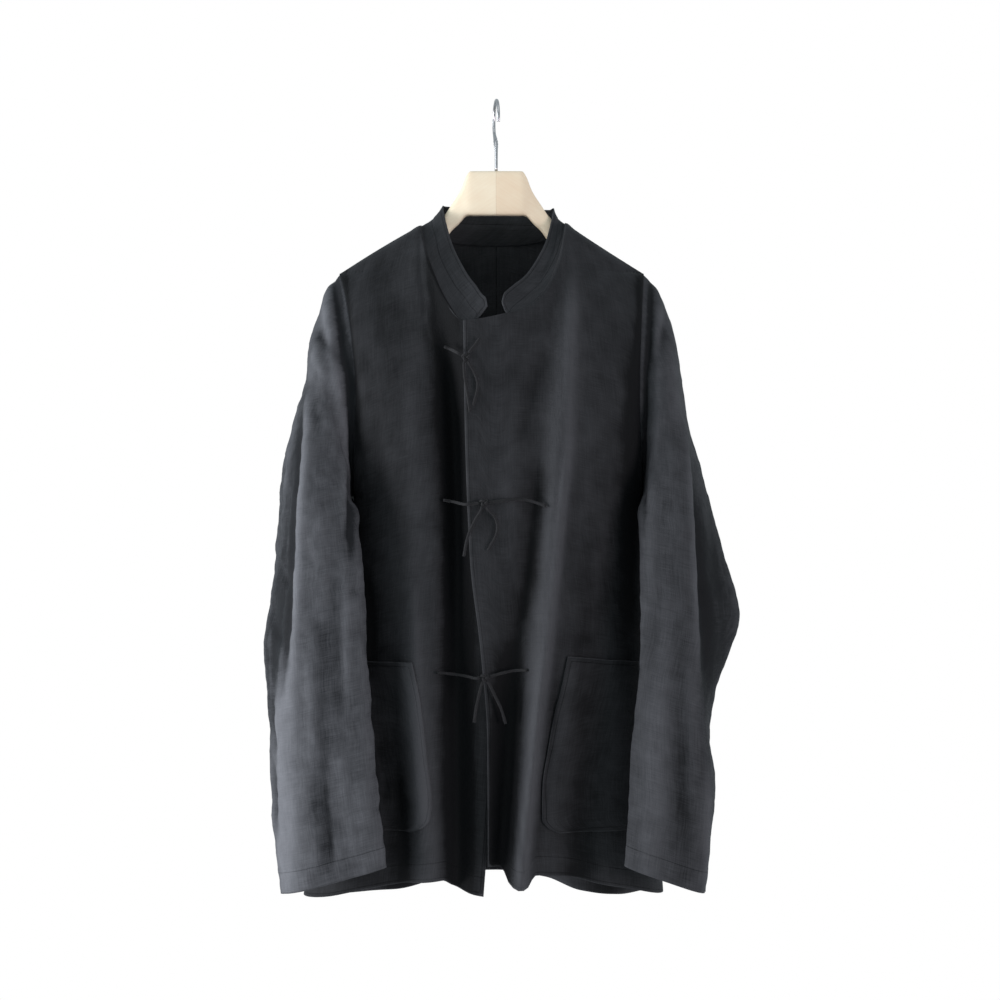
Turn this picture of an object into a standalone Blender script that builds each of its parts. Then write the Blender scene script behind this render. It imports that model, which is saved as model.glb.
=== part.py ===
# A mandarin collar jacket of linen on a wooden hanger with a wire hook.
# Metres in the scene, Z up, front towards -Y. Left and right are the viewer's.
# The origin is the underside of the hook's top, where a rail carries it.
# Sizes below are millimetres, and each mesh is turned to metres as it is made.

from math import cos, pi, radians, sin

import bpy
import numpy as np
from mathutils import Matrix

millimetre = 0.001
clothWall = 2.0
seamGap = 0.3
seamHalf = 0.5
squareness = 2.4
shoulderSteps = {"front": 12, "back": 9}
neckSteps = {"front": 3, "back": 1}
frontRows = 20
backRows = 17
ringPoints = 24

armhole = {"top": -207.0, "bottom": -474.0, "front": -52.0, "back": 56.0, "gap": 1.2}
ridge = {"share": 0.24, "radius": 12.0, "fall": 85.0, "firstRow": 0.2}


def table(names, *rows):
    # A table with named columns and a row for each place.
    return dict(zip(names.split(), np.array(rows, float).T))


# Half widths of the body at the armhole and side seam, by height.
bodyEdge = table(
    "z left right",
    (-207, -188, 177),
    (-231, -180, 174),
    (-280, -171, 171),
    (-350, -165, 169),
    (-450, -169, 173),
    (-560, -179, 181),
    (-700, -197, 188),
    (-800, -210, 191),
    (-960, -232, 201),
)

# Free front edge of each front, the under one reaching behind the other.
underEdge = table(
    "z x y",
    (-268, -21, -92),
    (-400, -2, -89),
    (-700, 0, -90),
    (-850, -8, -91),
    (-945, -15, -92),
)
overEdge = table(
    "z x y",
    (-271, -38, -97),
    (-398, -36, -100),
    (-549, -30, -102),
    (-652, -18, -102),
    (-756, -10, -103),
    (-945, -9, -104),
)
backMiddle = table(
    "z x y",
    (-164, 0, 62),
    (-250, 0, 68),
    (-400, 0, 72),
    (-600, 0, 70),
    (-960, 0, 66),
)

# Seam of the collar on each front, from the front edge to the side of the neck.
underNeck = table(
    "x y z",
    (-21, -92, -268),
    (-40, -91, -270),
    (-53, -84, -254),
    (-65, -72, -232),
    (-78, -52, -199),
    (-84, -35, -177),
    (-90, 0, -149),
)
overNeck = table(
    "x y z",
    (-38, -97, -271),
    (-14, -97, -268),
    (13, -95, -262),
    (30, -89, -258),
    (47, -80, -246),
    (61, -70, -227),
    (72, -52, -199),
    (78, -35, -177),
    (83, 0, -146),
)
backNeck = table(
    "x y z",
    (-90, 0, -149),
    (-84, 27, -154),
    (-66, 47, -159),
    (-36, 59, -163),
    (-3, 62, -164),
    (30, 59, -163),
    (60, 47, -159),
    (77, 27, -152),
    (83, 0, -146),
)
shoulder = table(
    "x z",
    (-188, -207),
    (-143, -179),
    (-105, -157),
    (-90, -149),
    (83, -146),
    (94, -154),
    (132, -179),
    (177, -207),
)

# Hem heights across each panel.
underHem = table(
    "x z",
    (-232, -952),
    (-200, -946),
    (-160, -935),
    (-122, -927),
    (-65, -920),
    (-52, -928),
    (-30, -937),
    (-15, -939),
)
overHem = table(
    "x z",
    (-9, -903),
    (6, -905),
    (18, -924),
    (34, -926),
    (46, -912),
    (75, -914),
    (121, -925),
    (160, -934),
    (201, -948),
)
backHem = table(
    "x z",
    (-232, -952),
    (-189, -961),
    (-120, -956),
    (-60, -945),
    (0, -934),
    (60, -946),
    (105, -960),
    (150, -962),
    (201, -948),
)

# Main folds: where each starts and ends, its half width and how far it stands out.
foldColumns = "topX topZ lowX lowZ width topRise lowRise"
underFolds = table(
    foldColumns,
    (-128, -230, -74, -960, 22, 5, 12),
    (-50, -300, -46, -960, 15, -10, -16),
    (-158, -420, -114, -960, 24, -3, -7),
)
overFolds = table(
    foldColumns,
    (89, -235, 22, -960, 15, 9, 24),
    (52, -420, 4, -960, 15, -4, -15),
    (128, -520, 92, -960, 20, -2, -9),
    (-25, -560, -3, -960, 16, 2, 5),
)
backFolds = table(
    foldColumns,
    (-96, -260, -118, -960, 26, -5, -14),
    (-52, -330, -60, -960, 22, 3, 12),
    (4, -300, 2, -960, 24, -3, -13),
    (58, -320, 70, -960, 22, 4, 11),
    (104, -270, 132, -960, 26, -5, -12),
)

# Collar: its seam below and its free edge above, round the neck from end to end.
collarBand = table(
    "lowX lowY lowZ topX topY topZ",
    (-21, -92, -268, -10, -89, -254),
    (-31, -92, -270, -12, -85, -244),
    (-42, -90, -267, -17, -79, -238),
    (-53, -84, -254, -24, -71, -227),
    (-65, -72, -232, -34, -61, -213),
    (-78, -52, -199, -49, -40, -183),
    (-84, -35, -177, -58, -24, -155),
    (-90, 0, -149, -64, 0, -127),
    (-84, 27, -154, -61, 26, -122),
    (-66, 47, -159, -50, 46, -120),
    (-36, 59, -163, -28, 58, -120),
    (-3, 62, -164, 1, 62, -120),
    (30, 59, -163, 30, 58, -121),
    (60, 47, -159, 53, 46, -123),
    (77, 27, -152, 65, 26, -126),
    (83, 0, -146, 69, 0, -130),
    (78, -35, -177, 61, -25, -165),
    (72, -52, -199, 52, -42, -187),
    (61, -70, -227, 37, -58, -212),
    (47, -80, -246, 21, -72, -227),
    (30, -89, -258, 12, -80, -235),
    (21, -92, -260, 9, -84, -240),
    (13, -95, -262, 7, -89, -249),
)
collarSteps = 2
collarRows = 4
collarBulge = 3.0
collarRaise = {"least": 1.3, "side": 1.7, "reach": 80.0}

# Sleeve head: sections that turn round the underarm, by their top, bottom and front.
headColumns = "topX topY topZ lowX lowY lowZ frontX frontY frontZ power bow"
sleeveHead = {
    "left": table(
        headColumns,
        (-203, -1, -225, -173, 0, -477, 0, -54, 2, 2.0, 6),
        (-210, -2, -250, -174, -1, -481, 1, -57, 4, 2.1, 4),
        (-222, -4, -280, -175, -3, -485, 3, -61, 8, 2.3, 2),
        (-228, -7, -330, -176, -7, -490, 6, -64, 10, 2.6, 1),
        (-240, -12, -378, -176, -14, -495, 9, -64, 11, 3.0, 0),
        (-250, -28, -430, -173, -26, -502, 14, -62, 8, 3.3, 0),
    ),
    "right": table(
        headColumns,
        (193, -1, -225, 177, 0, -477, 0, -54, 2, 2.0, 6),
        (203, -2, -250, 178, -1, -481, -1, -57, 4, 2.1, 4),
        (213, -4, -280, 179, -3, -485, -3, -61, 8, 2.3, 2),
        (221, -7, -330, 180, -7, -490, -5, -64, 10, 2.6, 1),
        (228, -12, -380, 180, -14, -495, -8, -64, 11, 3.0, 0),
        (240, -28, -430, 179, -26, -502, -11, -62, 8, 3.3, 0),
    ),
}

# Hanging sleeve: its inner, front and rear long edges at each height.
hangColumns = "innerX innerY innerZ frontX frontY frontZ rearX rearY rearZ"
sleeveHang = {
    "left": table(
        hangColumns,
        (-150, -98, -510, -228, -112, -492, -268, 4, -482),
        (-146, -110, -580, -229, -124, -572, -274, -22, -566),
        (-140, -124, -665, -229, -136, -660, -281, -46, -656),
        (-133, -136, -750, -226, -144, -750, -272, -60, -750),
        (-126, -146, -830, -221, -152, -838, -266, -74, -842),
        (-119, -150, -894, -216, -154, -921, -252, -86, -936),
    ),
    "right": table(
        hangColumns,
        (160, -98, -510, 232, -102, -494, 263, 2, -484),
        (160, -108, -570, 231, -112, -564, 283, -18, -556),
        (159, -120, -632, 231, -120, -626, 296, -38, -620),
        (158, -128, -695, 232, -128, -692, 268, -52, -690),
        (155, -136, -755, 238, -133, -752, 250, -66, -750),
        (151, -143, -812, 241, -138, -812, 256, -76, -812),
        (147, -150, -895, 231, -146, -925, 240, -88, -930),
    ),
}
hangPower = 3.6
hangSpread = 1.07
hangSteps = 2

# Patch pockets: the edge that shows, the top corners and the far side, by height.
pocketLift = 3.9
pocketColumns = "z near far"
pocketOutlines = {
    "pocket_left": table(
        pocketColumns,
        (-667, -96, -184),
        (-711, -88, -188),
        (-781, -80, -196),
        (-828, -75, -202),
        (-848, -77, -203),
        (-858, -84, -200),
        (-864, -96, -192),
    ),
    "pocket_right": table(
        pocketColumns,
        (-660, 82, 166),
        (-700, 74, 168),
        (-757, 60, 172),
        (-815, 51, 176),
        (-846, 52, 178),
        (-858, 60, 175),
        (-864, 72, 168),
    ),
}
pocketRows = 10
pocketFiles = 12

# Hanger: a bowed bar of wood with a raised neck, and its wire hook.
woodNeck = table(
    "reach top",
    (0, -84),
    (31, -84),
    (36, -90),
    (43, -107),
    (54, -124),
    (63, -137),
    (73, -147),
    (90, -156),
)
woodArm = table(
    "reach height thick forward power",
    (0, 55, 18, -4, 5.0),
    (30, 58, 18, -3, 5.0),
    (56, 38, 13, 0, 2.4),
    (90, 36, 13, 0, 2.3),
    (150, 32, 14, 0, 2.3),
    (176, 25, 12, 0, 2.3),
    (184, 15, 8, 0, 2.3),
)
armReach = {"left": 182.0, "right": 172.0}
woodSeat = 2.1
woodPoints = 14
hook = {"wire": 4.0, "loop": 23.0, "turn": 80.0, "stemTop": -60.0, "end": 196.0}

# Ties: a thin cord of the same cloth, knotted at the overlap's edge.
tieThick = 3.4
tieClear = 0.9
tieStep = 12.0
knotSize = (11.0, 8.0, 10.0)
knotGap = 0.6
knots = {
    "tie_top": (-35.0, -314.0),
    "tie_middle": (-14.0, -482.0),
    "tie_low": (-13.0, -683.0),
}

# Routes of each tie's strands from the knot: across, height, and stand off the cloth.
tieRoutes = {
    "tie_top": {
        "lead_left": ((-45, -309, 2), (-53, -304, 3), (-60, -301, 2)),
        "tail": ((-29, -306, 3), (-24, -300, 2), (-19, -293, 1)),
        "end_left": ((-37, -324, 3), (-36, -338, 1), (-33, -356, 1), (-30, -377, 1)),
        "end_right": ((-30, -323, 3), (-25, -332, 1), (-21, -347, 1), (-26, -370, 1)),
    },
    "tie_middle": {
        "lead_left": ((-24, -483, 1), (-36, -484, 1), (-50, -481, 5), (-61, -479, 2)),
        "lead_right": ((-3, -481, 1), (15, -479, 1), (35, -479, 1), (58, -486, 0)),
        "end_left": ((-18, -492, 3), (-26, -506, 1), (-33, -523, 1), (-37, -544, 1)),
        "end_right": ((-8, -491, 3), (0, -501, 1), (1, -517, 1), (-9, -537, 1)),
    },
    "tie_low": {
        "lead_left": ((-24, -684, 2), (-38, -683, 3), (-54, -681, 4), (-68, -679, 2)),
        "lead_right": ((-3, -681, 2), (9, -678, 2), (22, -676, 2), (36, -675, 1)),
        "end_left": ((-17, -693, 3), (-20, -705, 1), (-23, -719, 1), (-25, -735, 1)),
        "end_right": ((-7, -692, 3), (-1, -705, 1), (6, -720, 1), (11, -737, 1)),
    },
}


def spline(keys, values, at):
    # A smooth curve through a table's column that never overshoots its rows.
    order = np.argsort(keys)
    keys = np.asarray(keys, float)[order]
    values = np.asarray(values, float)[order]
    at = np.clip(np.asarray(at, float), keys[0], keys[-1])
    rise = np.diff(values) / np.diff(keys)
    slopes = np.empty(len(keys))
    slopes[0] = rise[0]
    slopes[-1] = rise[-1]
    product = rise[:-1] * rise[1:]
    total = np.where(rise[:-1] + rise[1:] == 0, 1.0, rise[:-1] + rise[1:])
    slopes[1:-1] = np.where(product > 0, 2 * product / total, 0.0)
    cell = np.clip(np.searchsorted(keys, at, side="right") - 1, 0, len(keys) - 2)
    span = keys[cell + 1] - keys[cell]
    t = (at - keys[cell]) / span
    start = (1 + 2 * t) * (1 - t) ** 2 * values[cell] + t * (1 - t) ** 2 * span * slopes[cell]
    finish = t * t * (3 - 2 * t) * values[cell + 1] + t * t * (t - 1) * span * slopes[cell + 1]
    return start + finish


def along(rows, names, steps):
    # Points through a table's rows, with the same number of steps between rows.
    last = len(rows[names[0]]) - 1
    at = np.linspace(0, last, last * steps + 1)
    return np.array([rounded(rows[name], at) for name in names]).T


def rounded(values, at):
    # A smooth curve through evenly counted rows.
    slopes = np.gradient(values)
    cell = np.clip(at.astype(int), 0, len(values) - 2)
    t = at - cell
    start = (1 + 2 * t) * (1 - t) ** 2 * values[cell] + t * (1 - t) ** 2 * slopes[cell]
    finish = t * t * (3 - 2 * t) * values[cell + 1] + t * t * (t - 1) * slopes[cell + 1]
    return start + finish


def powered(value, power):
    return np.sign(value) * np.abs(value) ** (2 / power)


def armholeReach(z, reach):
    # How far the armhole lies from the seam plane at a height.
    middle = (armhole["top"] + armhole["bottom"]) / 2
    half = (armhole["top"] - armhole["bottom"]) / 2
    share = np.clip((z - middle) / half, -1, 1)
    return reach * np.sqrt(1 - share ** 2)


def foldRise(folds, x, z):
    # Sum of the folds at a place, each a soft ridge along its own slanted line.
    total = np.zeros_like(x)
    for row in range(len(folds["width"])):
        fold = {name: values[row] for name, values in folds.items()}
        share = np.clip((z - fold["topZ"]) / (fold["lowZ"] - fold["topZ"]), 0, 1)
        line = fold["topX"] + (fold["lowX"] - fold["topX"]) * share
        rise = fold["topRise"] + (fold["lowRise"] - fold["topRise"]) * share
        start = 1 / (1 + np.exp((z - fold["topZ"]) / 18))
        total += rise * start * np.exp(-(((x - line) / fold["width"]) ** 2))
    return total


def panelSurface(piece, share, z, topY, topZ):
    # A point of a body panel: a rounded quarter section at each height, which
    # falls from the seam above it, plus the folds. share runs 0 middle to 1 side.
    middle = piece["middle"]
    edgeX = spline(bodyEdge["z"], bodyEdge[piece["side"]], z)
    middleX = spline(middle["z"], middle["x"], z)
    middleY = spline(middle["z"], middle["y"], z)
    edgeY = armholeReach(z, armhole[piece["face"]]) + piece["out"] * seamHalf
    x = middleX + (edgeX - middleX) * share
    drape = edgeY + (middleY - edgeY) * (1 - share ** squareness) ** (1 / squareness)
    drop = np.maximum(topZ - z, 0)
    bend = np.sqrt(1 - (1 - np.minimum(drop / ridge["radius"], 1)) ** 2)
    fall = ridge["share"] * bend + (1 - ridge["share"]) * (1 - np.exp(-drop / ridge["fall"]))
    y = topY + (drape - topY) * fall + (edgeY - topY) * (1 - fall) * share ** 6
    still = (1 - np.exp(-drop / 40)) * (1 - share ** 8)
    y = y + piece["out"] * foldRise(piece["folds"], x, z) * still
    return x, y


def panelColumns(piece):
    # Where each column of a panel starts: along the neck, then out the shoulder.
    neck = along(piece["neck"], ("x", "y", "z"), neckSteps[piece["face"]])
    tip = bodyEdge[piece["side"]][0]
    side = np.sin(np.linspace(0, pi / 2, shoulderSteps[piece["face"]] + 1))[1:]
    x = neck[-1, 0] + (tip - neck[-1, 0]) * side
    z = spline(shoulder["x"], shoulder["z"], x)
    y = np.full(len(x), piece["out"] * seamHalf)
    neck[-1, 1] = piece["out"] * seamHalf
    return np.vstack([neck, np.array([x, y, z]).T])


def panelShare(piece, x, z):
    edgeX = spline(bodyEdge["z"], bodyEdge[piece["side"]], z)
    middleX = spline(piece["middle"]["z"], piece["middle"]["x"], z)
    return np.clip((x - middleX) / (edgeX - middleX), 0, 1)


def panelGrid(piece, rows):
    # Rows of points from the neck and shoulder seam down to the hem.
    starts = panelColumns(piece)
    share = panelShare(piece, starts[:, 0], starts[:, 2])
    share[0] = 0.0
    share[-1] = 1.0
    low = piece["middle"]["z"][-1]
    edge = spline(bodyEdge["z"], bodyEdge[piece["side"]], low)
    middle = spline(piece["middle"]["z"], piece["middle"]["x"], low)
    hemZ = spline(piece["hem"]["x"], piece["hem"]["z"], middle + (edge - middle) * share)
    step = np.linspace(0, 1, rows)
    parts = 0.45 * step + 0.55 * step ** 2
    grid = []
    for part in np.insert(parts, 1, parts[1] * ridge["firstRow"]):
        z = starts[:, 2] + (hemZ - starts[:, 2]) * part
        x, y = panelSurface(piece, share, z, starts[:, 1], starts[:, 2])
        grid.append(np.array([x, y, z]).T)
    return np.array(grid)


def panelPoint(piece, x, z):
    # The panel's point that shows at a place of the front view.
    starts = panelColumns(piece)
    share = panelShare(piece, x, z)
    marks = panelShare(piece, starts[:, 0], starts[:, 2])
    order = np.argsort(marks)
    topY = np.interp(share, marks[order], starts[order, 1])
    topZ = np.interp(share, marks[order], starts[order, 2])
    return np.array([x, panelSurface(piece, share, z, topY, topZ)[1], z]).T


def lifted(grid, lift):
    # The same grid moved out along its own normals.
    down, across = np.gradient(grid, axis=0), np.gradient(grid, axis=1)
    normal = np.cross(down, across)
    normal /= np.linalg.norm(normal, axis=2, keepdims=True)
    outward = np.sign(normal[..., 1].sum()) or 1.0
    return grid - normal * outward * lift


def sleeveRings(side):
    # The armhole ring, the fanned sections of the head and the hanging ones.
    out = -1 if side == "left" else 1
    turn = np.linspace(0, 2 * pi, ringPoints, endpoint=False)
    across, forward = np.cos(turn), np.sin(turn)
    middle = (armhole["top"] + armhole["bottom"]) / 2
    z = middle + (armhole["top"] - armhole["bottom"]) / 2 * across
    y = np.where(forward > 0, armhole["front"] * forward, -armhole["back"] * forward)
    x = spline(bodyEdge["z"], bodyEdge[side], z) + out * (clothWall / 2 + armhole["gap"])
    rings = [np.array([x, y, z]).T]
    head = sleeveHead[side]
    for row in range(len(head["power"])):
        top = np.array([head["topX"][row], head["topY"][row], head["topZ"][row]])
        low = np.array([head["lowX"][row], head["lowY"][row], head["lowZ"][row]])
        front = np.array([head["frontX"][row], head["frontY"][row], head["frontZ"][row]])
        ring = section((top + low) / 2, (top - low) / 2, front, head["power"][row], turn)
        ring[:, 0] -= out * head["bow"][row] * forward ** 2
        rings.append(ring)
    hang = sleeveHang[side]
    names = hangColumns.split()
    for row in along(hang, names, hangSteps):
        inner, front, rear = row[0:3], row[3:6], row[6:9]
        half, deep = (front - inner) / 2, (front - rear) / 2
        centre = front - half - deep
        rings.append(section(centre, half * hangSpread, deep * hangSpread, hangPower, turn))
    return np.array(rings)


def section(centre, half, deep, power, turn):
    # A closed section with two axes, round at power 2 and squarer above it.
    across = powered(np.cos(turn), power)[:, None]
    forward = powered(np.sin(turn), power)[:, None]
    return centre + half * across + deep * forward


def material(name, colour, roughness, metallic=0.0):
    look = bpy.data.materials.new(name)
    look.use_nodes = True
    shader = look.node_tree.nodes["Principled BSDF"]
    shader.inputs["Base Color"].default_value = (*colour, 1)
    shader.inputs["Roughness"].default_value = roughness
    shader.inputs["Metallic"].default_value = metallic
    return look


def addObject(name, data, look):
    piece = bpy.data.objects.new(name, data)
    data.materials.append(look)
    jacket.objects.link(piece)
    return piece


def gridObject(name, grid, look, closed=False, wall=clothWall):
    # A sheet lofted through rows of points, thickened evenly about its middle.
    rows, files = grid.shape[:2]
    spans = files if closed else files - 1
    faces = []
    for row in range(rows - 1):
        for file in range(spans):
            beside = (file + 1) % files
            faces.append(
                (row * files + file, row * files + beside,
                 (row + 1) * files + beside, (row + 1) * files + file)
            )
    mesh = bpy.data.meshes.new(name)
    mesh.from_pydata((grid.reshape(-1, 3) * millimetre).tolist(), [], faces)
    mesh.shade_smooth()
    piece = addObject(name, mesh, look)
    thicken = piece.modifiers.new("wall", "SOLIDIFY")
    thicken.thickness = wall * millimetre
    thicken.offset = 0
    return piece


def cordObject(name, points, thick, look):
    # A round cord or wire along its own points.
    curve = bpy.data.curves.new(name, "CURVE")
    curve.dimensions = "3D"
    curve.bevel_depth = thick / 2 * millimetre
    curve.bevel_resolution = 2
    curve.use_fill_caps = True
    run = curve.splines.new("POLY")
    run.points.add(len(points) - 1)
    for target, point in zip(run.points, points):
        target.co = (*(np.asarray(point) * millimetre), 1)
    run.use_smooth = True
    return addObject(name, curve, look)


def smoothRoute(places, steps=3):
    # A smooth curve through a cord's own points.
    names = ("x", "y", "z")
    rows = dict(zip(names, np.array(places, float).T))
    return along(rows, names, steps)


def backGrid():
    # Both halves of the back in one sheet, from the left edge to the right one.
    left = panelGrid(backLeft, backRows)
    right = panelGrid(backRight, backRows)
    return np.concatenate([left[:, ::-1], right[:, 1:]], axis=1)


def collarGrid():
    rows = along(collarBand, ("lowX", "lowY", "lowZ", "topX", "topY", "topZ"), collarSteps)
    low, top = rows[:, :3], rows[:, 3:]
    outward = np.cross(np.gradient(low, axis=0), top - low)
    outward /= np.linalg.norm(outward, axis=1, keepdims=True)
    grid = []
    height = np.linalg.norm(top - low, axis=1, keepdims=True)
    aside = np.maximum(0, 1 - np.abs(low[:, 1:2]) / collarRaise["reach"])
    start = (collarRaise["least"] + collarRaise["side"] * aside) / height
    for step in np.linspace(0, 1, collarRows):
        share = start + (1 - start) * step
        grid.append(low + (top - low) * share + outward * collarBulge * sin(pi * step))
    return np.array(grid)


def pocketGrid(name, piece):
    outline = pocketOutlines[name]
    step = np.linspace(0, 1, pocketRows)
    heights = outline["z"][0] + (outline["z"][-1] - outline["z"][0]) * (1 - (1 - step) ** 1.6)
    grid = []
    for z in heights:
        near = spline(outline["z"], outline["near"], z)
        far = spline(outline["z"], outline["far"], z)
        x = np.linspace(near, far, pocketFiles)
        grid.append(panelPoint(piece, x, np.full(pocketFiles, z)))
    return lifted(np.array(grid), pocketLift)


def woodBar(look):
    # The hanger's bar: rounded sections from one tip to the other.
    places = [-1 + 2 * step / 30 for step in range(31)]
    turn = np.linspace(0, 2 * pi, woodPoints, endpoint=False)
    rings = []
    for place in places:
        side = "left" if place < 0 else "right"
        x = place * armReach[side]
        reach = abs(x)
        top = spline(woodNeck["reach"], woodNeck["top"], reach)
        if reach > woodNeck["reach"][-2]:
            top = min(top, spline(shoulder["x"], shoulder["z"], x) - woodSeat)
        height = spline(woodArm["reach"], woodArm["height"], reach)
        thick = spline(woodArm["reach"], woodArm["thick"], reach)
        forward = spline(woodArm["reach"], woodArm["forward"], reach)
        power = spline(woodArm["reach"], woodArm["power"], reach)
        centre = np.array([x, forward, top - height / 2])
        rings.append(section(centre, np.array([0, 0, height / 2]),
                             np.array([0, -thick / 2, 0]), power, turn))
    rings = np.array(rings)
    files = woodPoints
    faces = []
    for row in range(len(rings) - 1):
        for file in range(files):
            beside = (file + 1) % files
            faces.append((row * files + file, row * files + beside,
                          (row + 1) * files + beside, (row + 1) * files + file))
    last = (len(rings) - 1) * files
    faces.append(tuple(reversed(range(files))))
    faces.append(tuple(range(last, last + files)))
    mesh = bpy.data.meshes.new("hanger_wood")
    mesh.from_pydata((rings.reshape(-1, 3) * millimetre).tolist(), [], faces)
    mesh.shade_smooth()
    mesh.set_sharp_from_angle(angle=radians(50))
    return addObject("hanger_wood", mesh, look)


def hookRoute():
    # A straight stem, a sway to the back and a round crook over the rail.
    loop = hook["loop"]
    middle = 2.0 - loop
    route = [(0.0, woodNeck["top"][0] + seamGap), (0.0, hook["stemTop"]), (3.0, -50.0), (10.0, -42.0)]
    for step in range(22):
        angle = radians(-38 + step * (hook["end"] + 38) / 21)
        route.append((loop * cos(angle), middle + loop * sin(angle)))
    turn = radians(hook["turn"])
    return [(-away * cos(turn), away * sin(turn), z) for away, z in route]


def onOverlap(x, z, lift):
    # A place in front of the upper front, or of its edge line beside it.
    edge = spline(overEdge["z"], overEdge["x"], z)
    y = panelPoint(over, np.array([max(x, edge)]), np.array([z]))[0, 1]
    return np.array([x, y - clothWall / 2 - lift, z])


def knotObject(name, centre, look):
    # The knot, a small pressed ball of turned cord.
    bpy.ops.mesh.primitive_uv_sphere_add(segments=12, ring_count=8, radius=0.5 * millimetre)
    knot = bpy.context.active_object
    knot.name = name
    knot.data.name = name
    knot.data.transform(Matrix.Diagonal((*knotSize, 1)))
    knot.location = centre * millimetre
    knot.data.shade_smooth()
    knot.data.materials.append(look)
    for home in knot.users_collection:
        home.objects.unlink(knot)
    jacket.objects.link(knot)


def knotExit(centre, places):
    # A cord's first point, just off the knot towards the next place.
    towards = places[0] - centre
    towards /= np.linalg.norm(towards)
    reach = 1 / np.linalg.norm(towards / (np.array(knotSize) / 2))
    return [centre + towards * (reach + knotGap)] + places


def tieClosure(name, look):
    # A closure: its knot, the leads sewn to each front and the hanging ends.
    place = knots[name]
    centre = onOverlap(*place, knotSize[1] / 2 + seamGap)
    knotObject(name + "_knot", centre, look)
    lift = tieThick / 2 + tieClear
    for strand, rows in tieRoutes[name].items():
        places = []
        for x, z, away in rows:
            if strand == "lead_left" and x < spline(overEdge["z"], overEdge["x"], z) - tieStep:
                point = panelPoint(under, np.array([x]), np.array([z]))[0]
                places.append(point - [0, clothWall / 2 + lift + away, 0])
            else:
                places.append(onOverlap(x, z, lift + away))
        cordObject(f"{name}_{strand}", smoothRoute(knotExit(centre, places)), tieThick, look)


for thing in list(bpy.data.objects):
    bpy.data.objects.remove(thing)
jacket = bpy.data.collections.new("mandarin_collar_jacket")
bpy.context.scene.collection.children.link(jacket)

linen = material("charcoal_linen", (0.022, 0.023, 0.026), 0.85)
wood = material("pale_wood", (0.80, 0.68, 0.50), 0.5)
chrome = material("chrome_wire", (0.62, 0.63, 0.65), 0.2, 1.0)

under = {"side": "left", "middle": underEdge, "neck": underNeck, "hem": underHem,
         "folds": underFolds, "out": -1, "face": "front"}
over = {"side": "right", "middle": overEdge, "neck": overNeck, "hem": overHem,
        "folds": overFolds, "out": -1, "face": "front"}
halfNeck = len(backNeck["x"]) // 2
backLeft = {"side": "left", "middle": backMiddle, "hem": backHem, "folds": backFolds,
            "out": 1, "face": "back",
            "neck": {name: values[halfNeck::-1] for name, values in backNeck.items()}}
backRight = {"side": "right", "middle": backMiddle, "hem": backHem, "folds": backFolds,
             "out": 1, "face": "back",
             "neck": {name: values[halfNeck:] for name, values in backNeck.items()}}

gridObject("front_under", panelGrid(under, frontRows), linen)
gridObject("front_over", panelGrid(over, frontRows), linen)
gridObject("back", backGrid(), linen)
gridObject("sleeve_left", sleeveRings("left"), linen, closed=True)
gridObject("sleeve_right", sleeveRings("right"), linen, closed=True)
gridObject("collar", collarGrid(), linen)
gridObject("pocket_left", pocketGrid("pocket_left", under), linen)
gridObject("pocket_right", pocketGrid("pocket_right", over), linen)
woodBar(wood)
cordObject("hanger_hook", hookRoute(), hook["wire"], chrome)
for closure in knots:
    tieClosure(closure, linen)
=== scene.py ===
from math import cos, pi, radians, sin

import bpy
import numpy as np
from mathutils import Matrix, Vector, noise


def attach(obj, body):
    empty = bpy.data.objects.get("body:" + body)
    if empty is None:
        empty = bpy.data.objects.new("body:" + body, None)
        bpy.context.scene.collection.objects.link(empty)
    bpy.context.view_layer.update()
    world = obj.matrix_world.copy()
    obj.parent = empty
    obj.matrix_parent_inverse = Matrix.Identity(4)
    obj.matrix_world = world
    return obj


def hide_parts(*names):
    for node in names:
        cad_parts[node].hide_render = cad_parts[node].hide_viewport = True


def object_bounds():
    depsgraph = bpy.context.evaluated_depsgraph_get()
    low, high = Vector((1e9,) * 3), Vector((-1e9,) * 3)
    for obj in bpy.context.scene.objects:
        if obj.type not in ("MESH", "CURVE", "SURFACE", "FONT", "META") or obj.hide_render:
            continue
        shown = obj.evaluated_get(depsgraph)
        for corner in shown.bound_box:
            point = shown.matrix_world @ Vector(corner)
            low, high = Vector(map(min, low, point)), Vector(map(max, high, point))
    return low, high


# Mandarin collar jacket in charcoal linen, hung on a wooden hanger with a wire hook.
# Lengths in the tables are millimetres. Left and right are the viewer's, the front faces -Y.

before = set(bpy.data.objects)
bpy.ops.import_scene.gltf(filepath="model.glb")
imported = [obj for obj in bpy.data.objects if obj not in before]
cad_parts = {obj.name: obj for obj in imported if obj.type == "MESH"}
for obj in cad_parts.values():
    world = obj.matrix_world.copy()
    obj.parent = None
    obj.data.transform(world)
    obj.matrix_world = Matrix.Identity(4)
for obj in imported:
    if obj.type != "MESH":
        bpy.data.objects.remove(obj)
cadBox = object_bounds()
millimetre = 0.001
metre = 1000.0  # the material graphs work in millimetres
print("frame loaded:", len(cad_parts), "nodes")


def table(names, *rows):
    # columns by name, a row for each place
    return dict(zip(names.split(), np.array(rows, float).T))


def creaseTable(*rows):
    return table("topX topZ lowX lowZ width rise", *rows)


def foldTable(*rows):
    return table("topX topZ lowX lowZ width topRise lowRise", *rows)


def rowsOf(columns):
    return [dict(zip(columns, row)) for row in zip(*columns.values())]


# shapes of curves and surfaces

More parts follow.
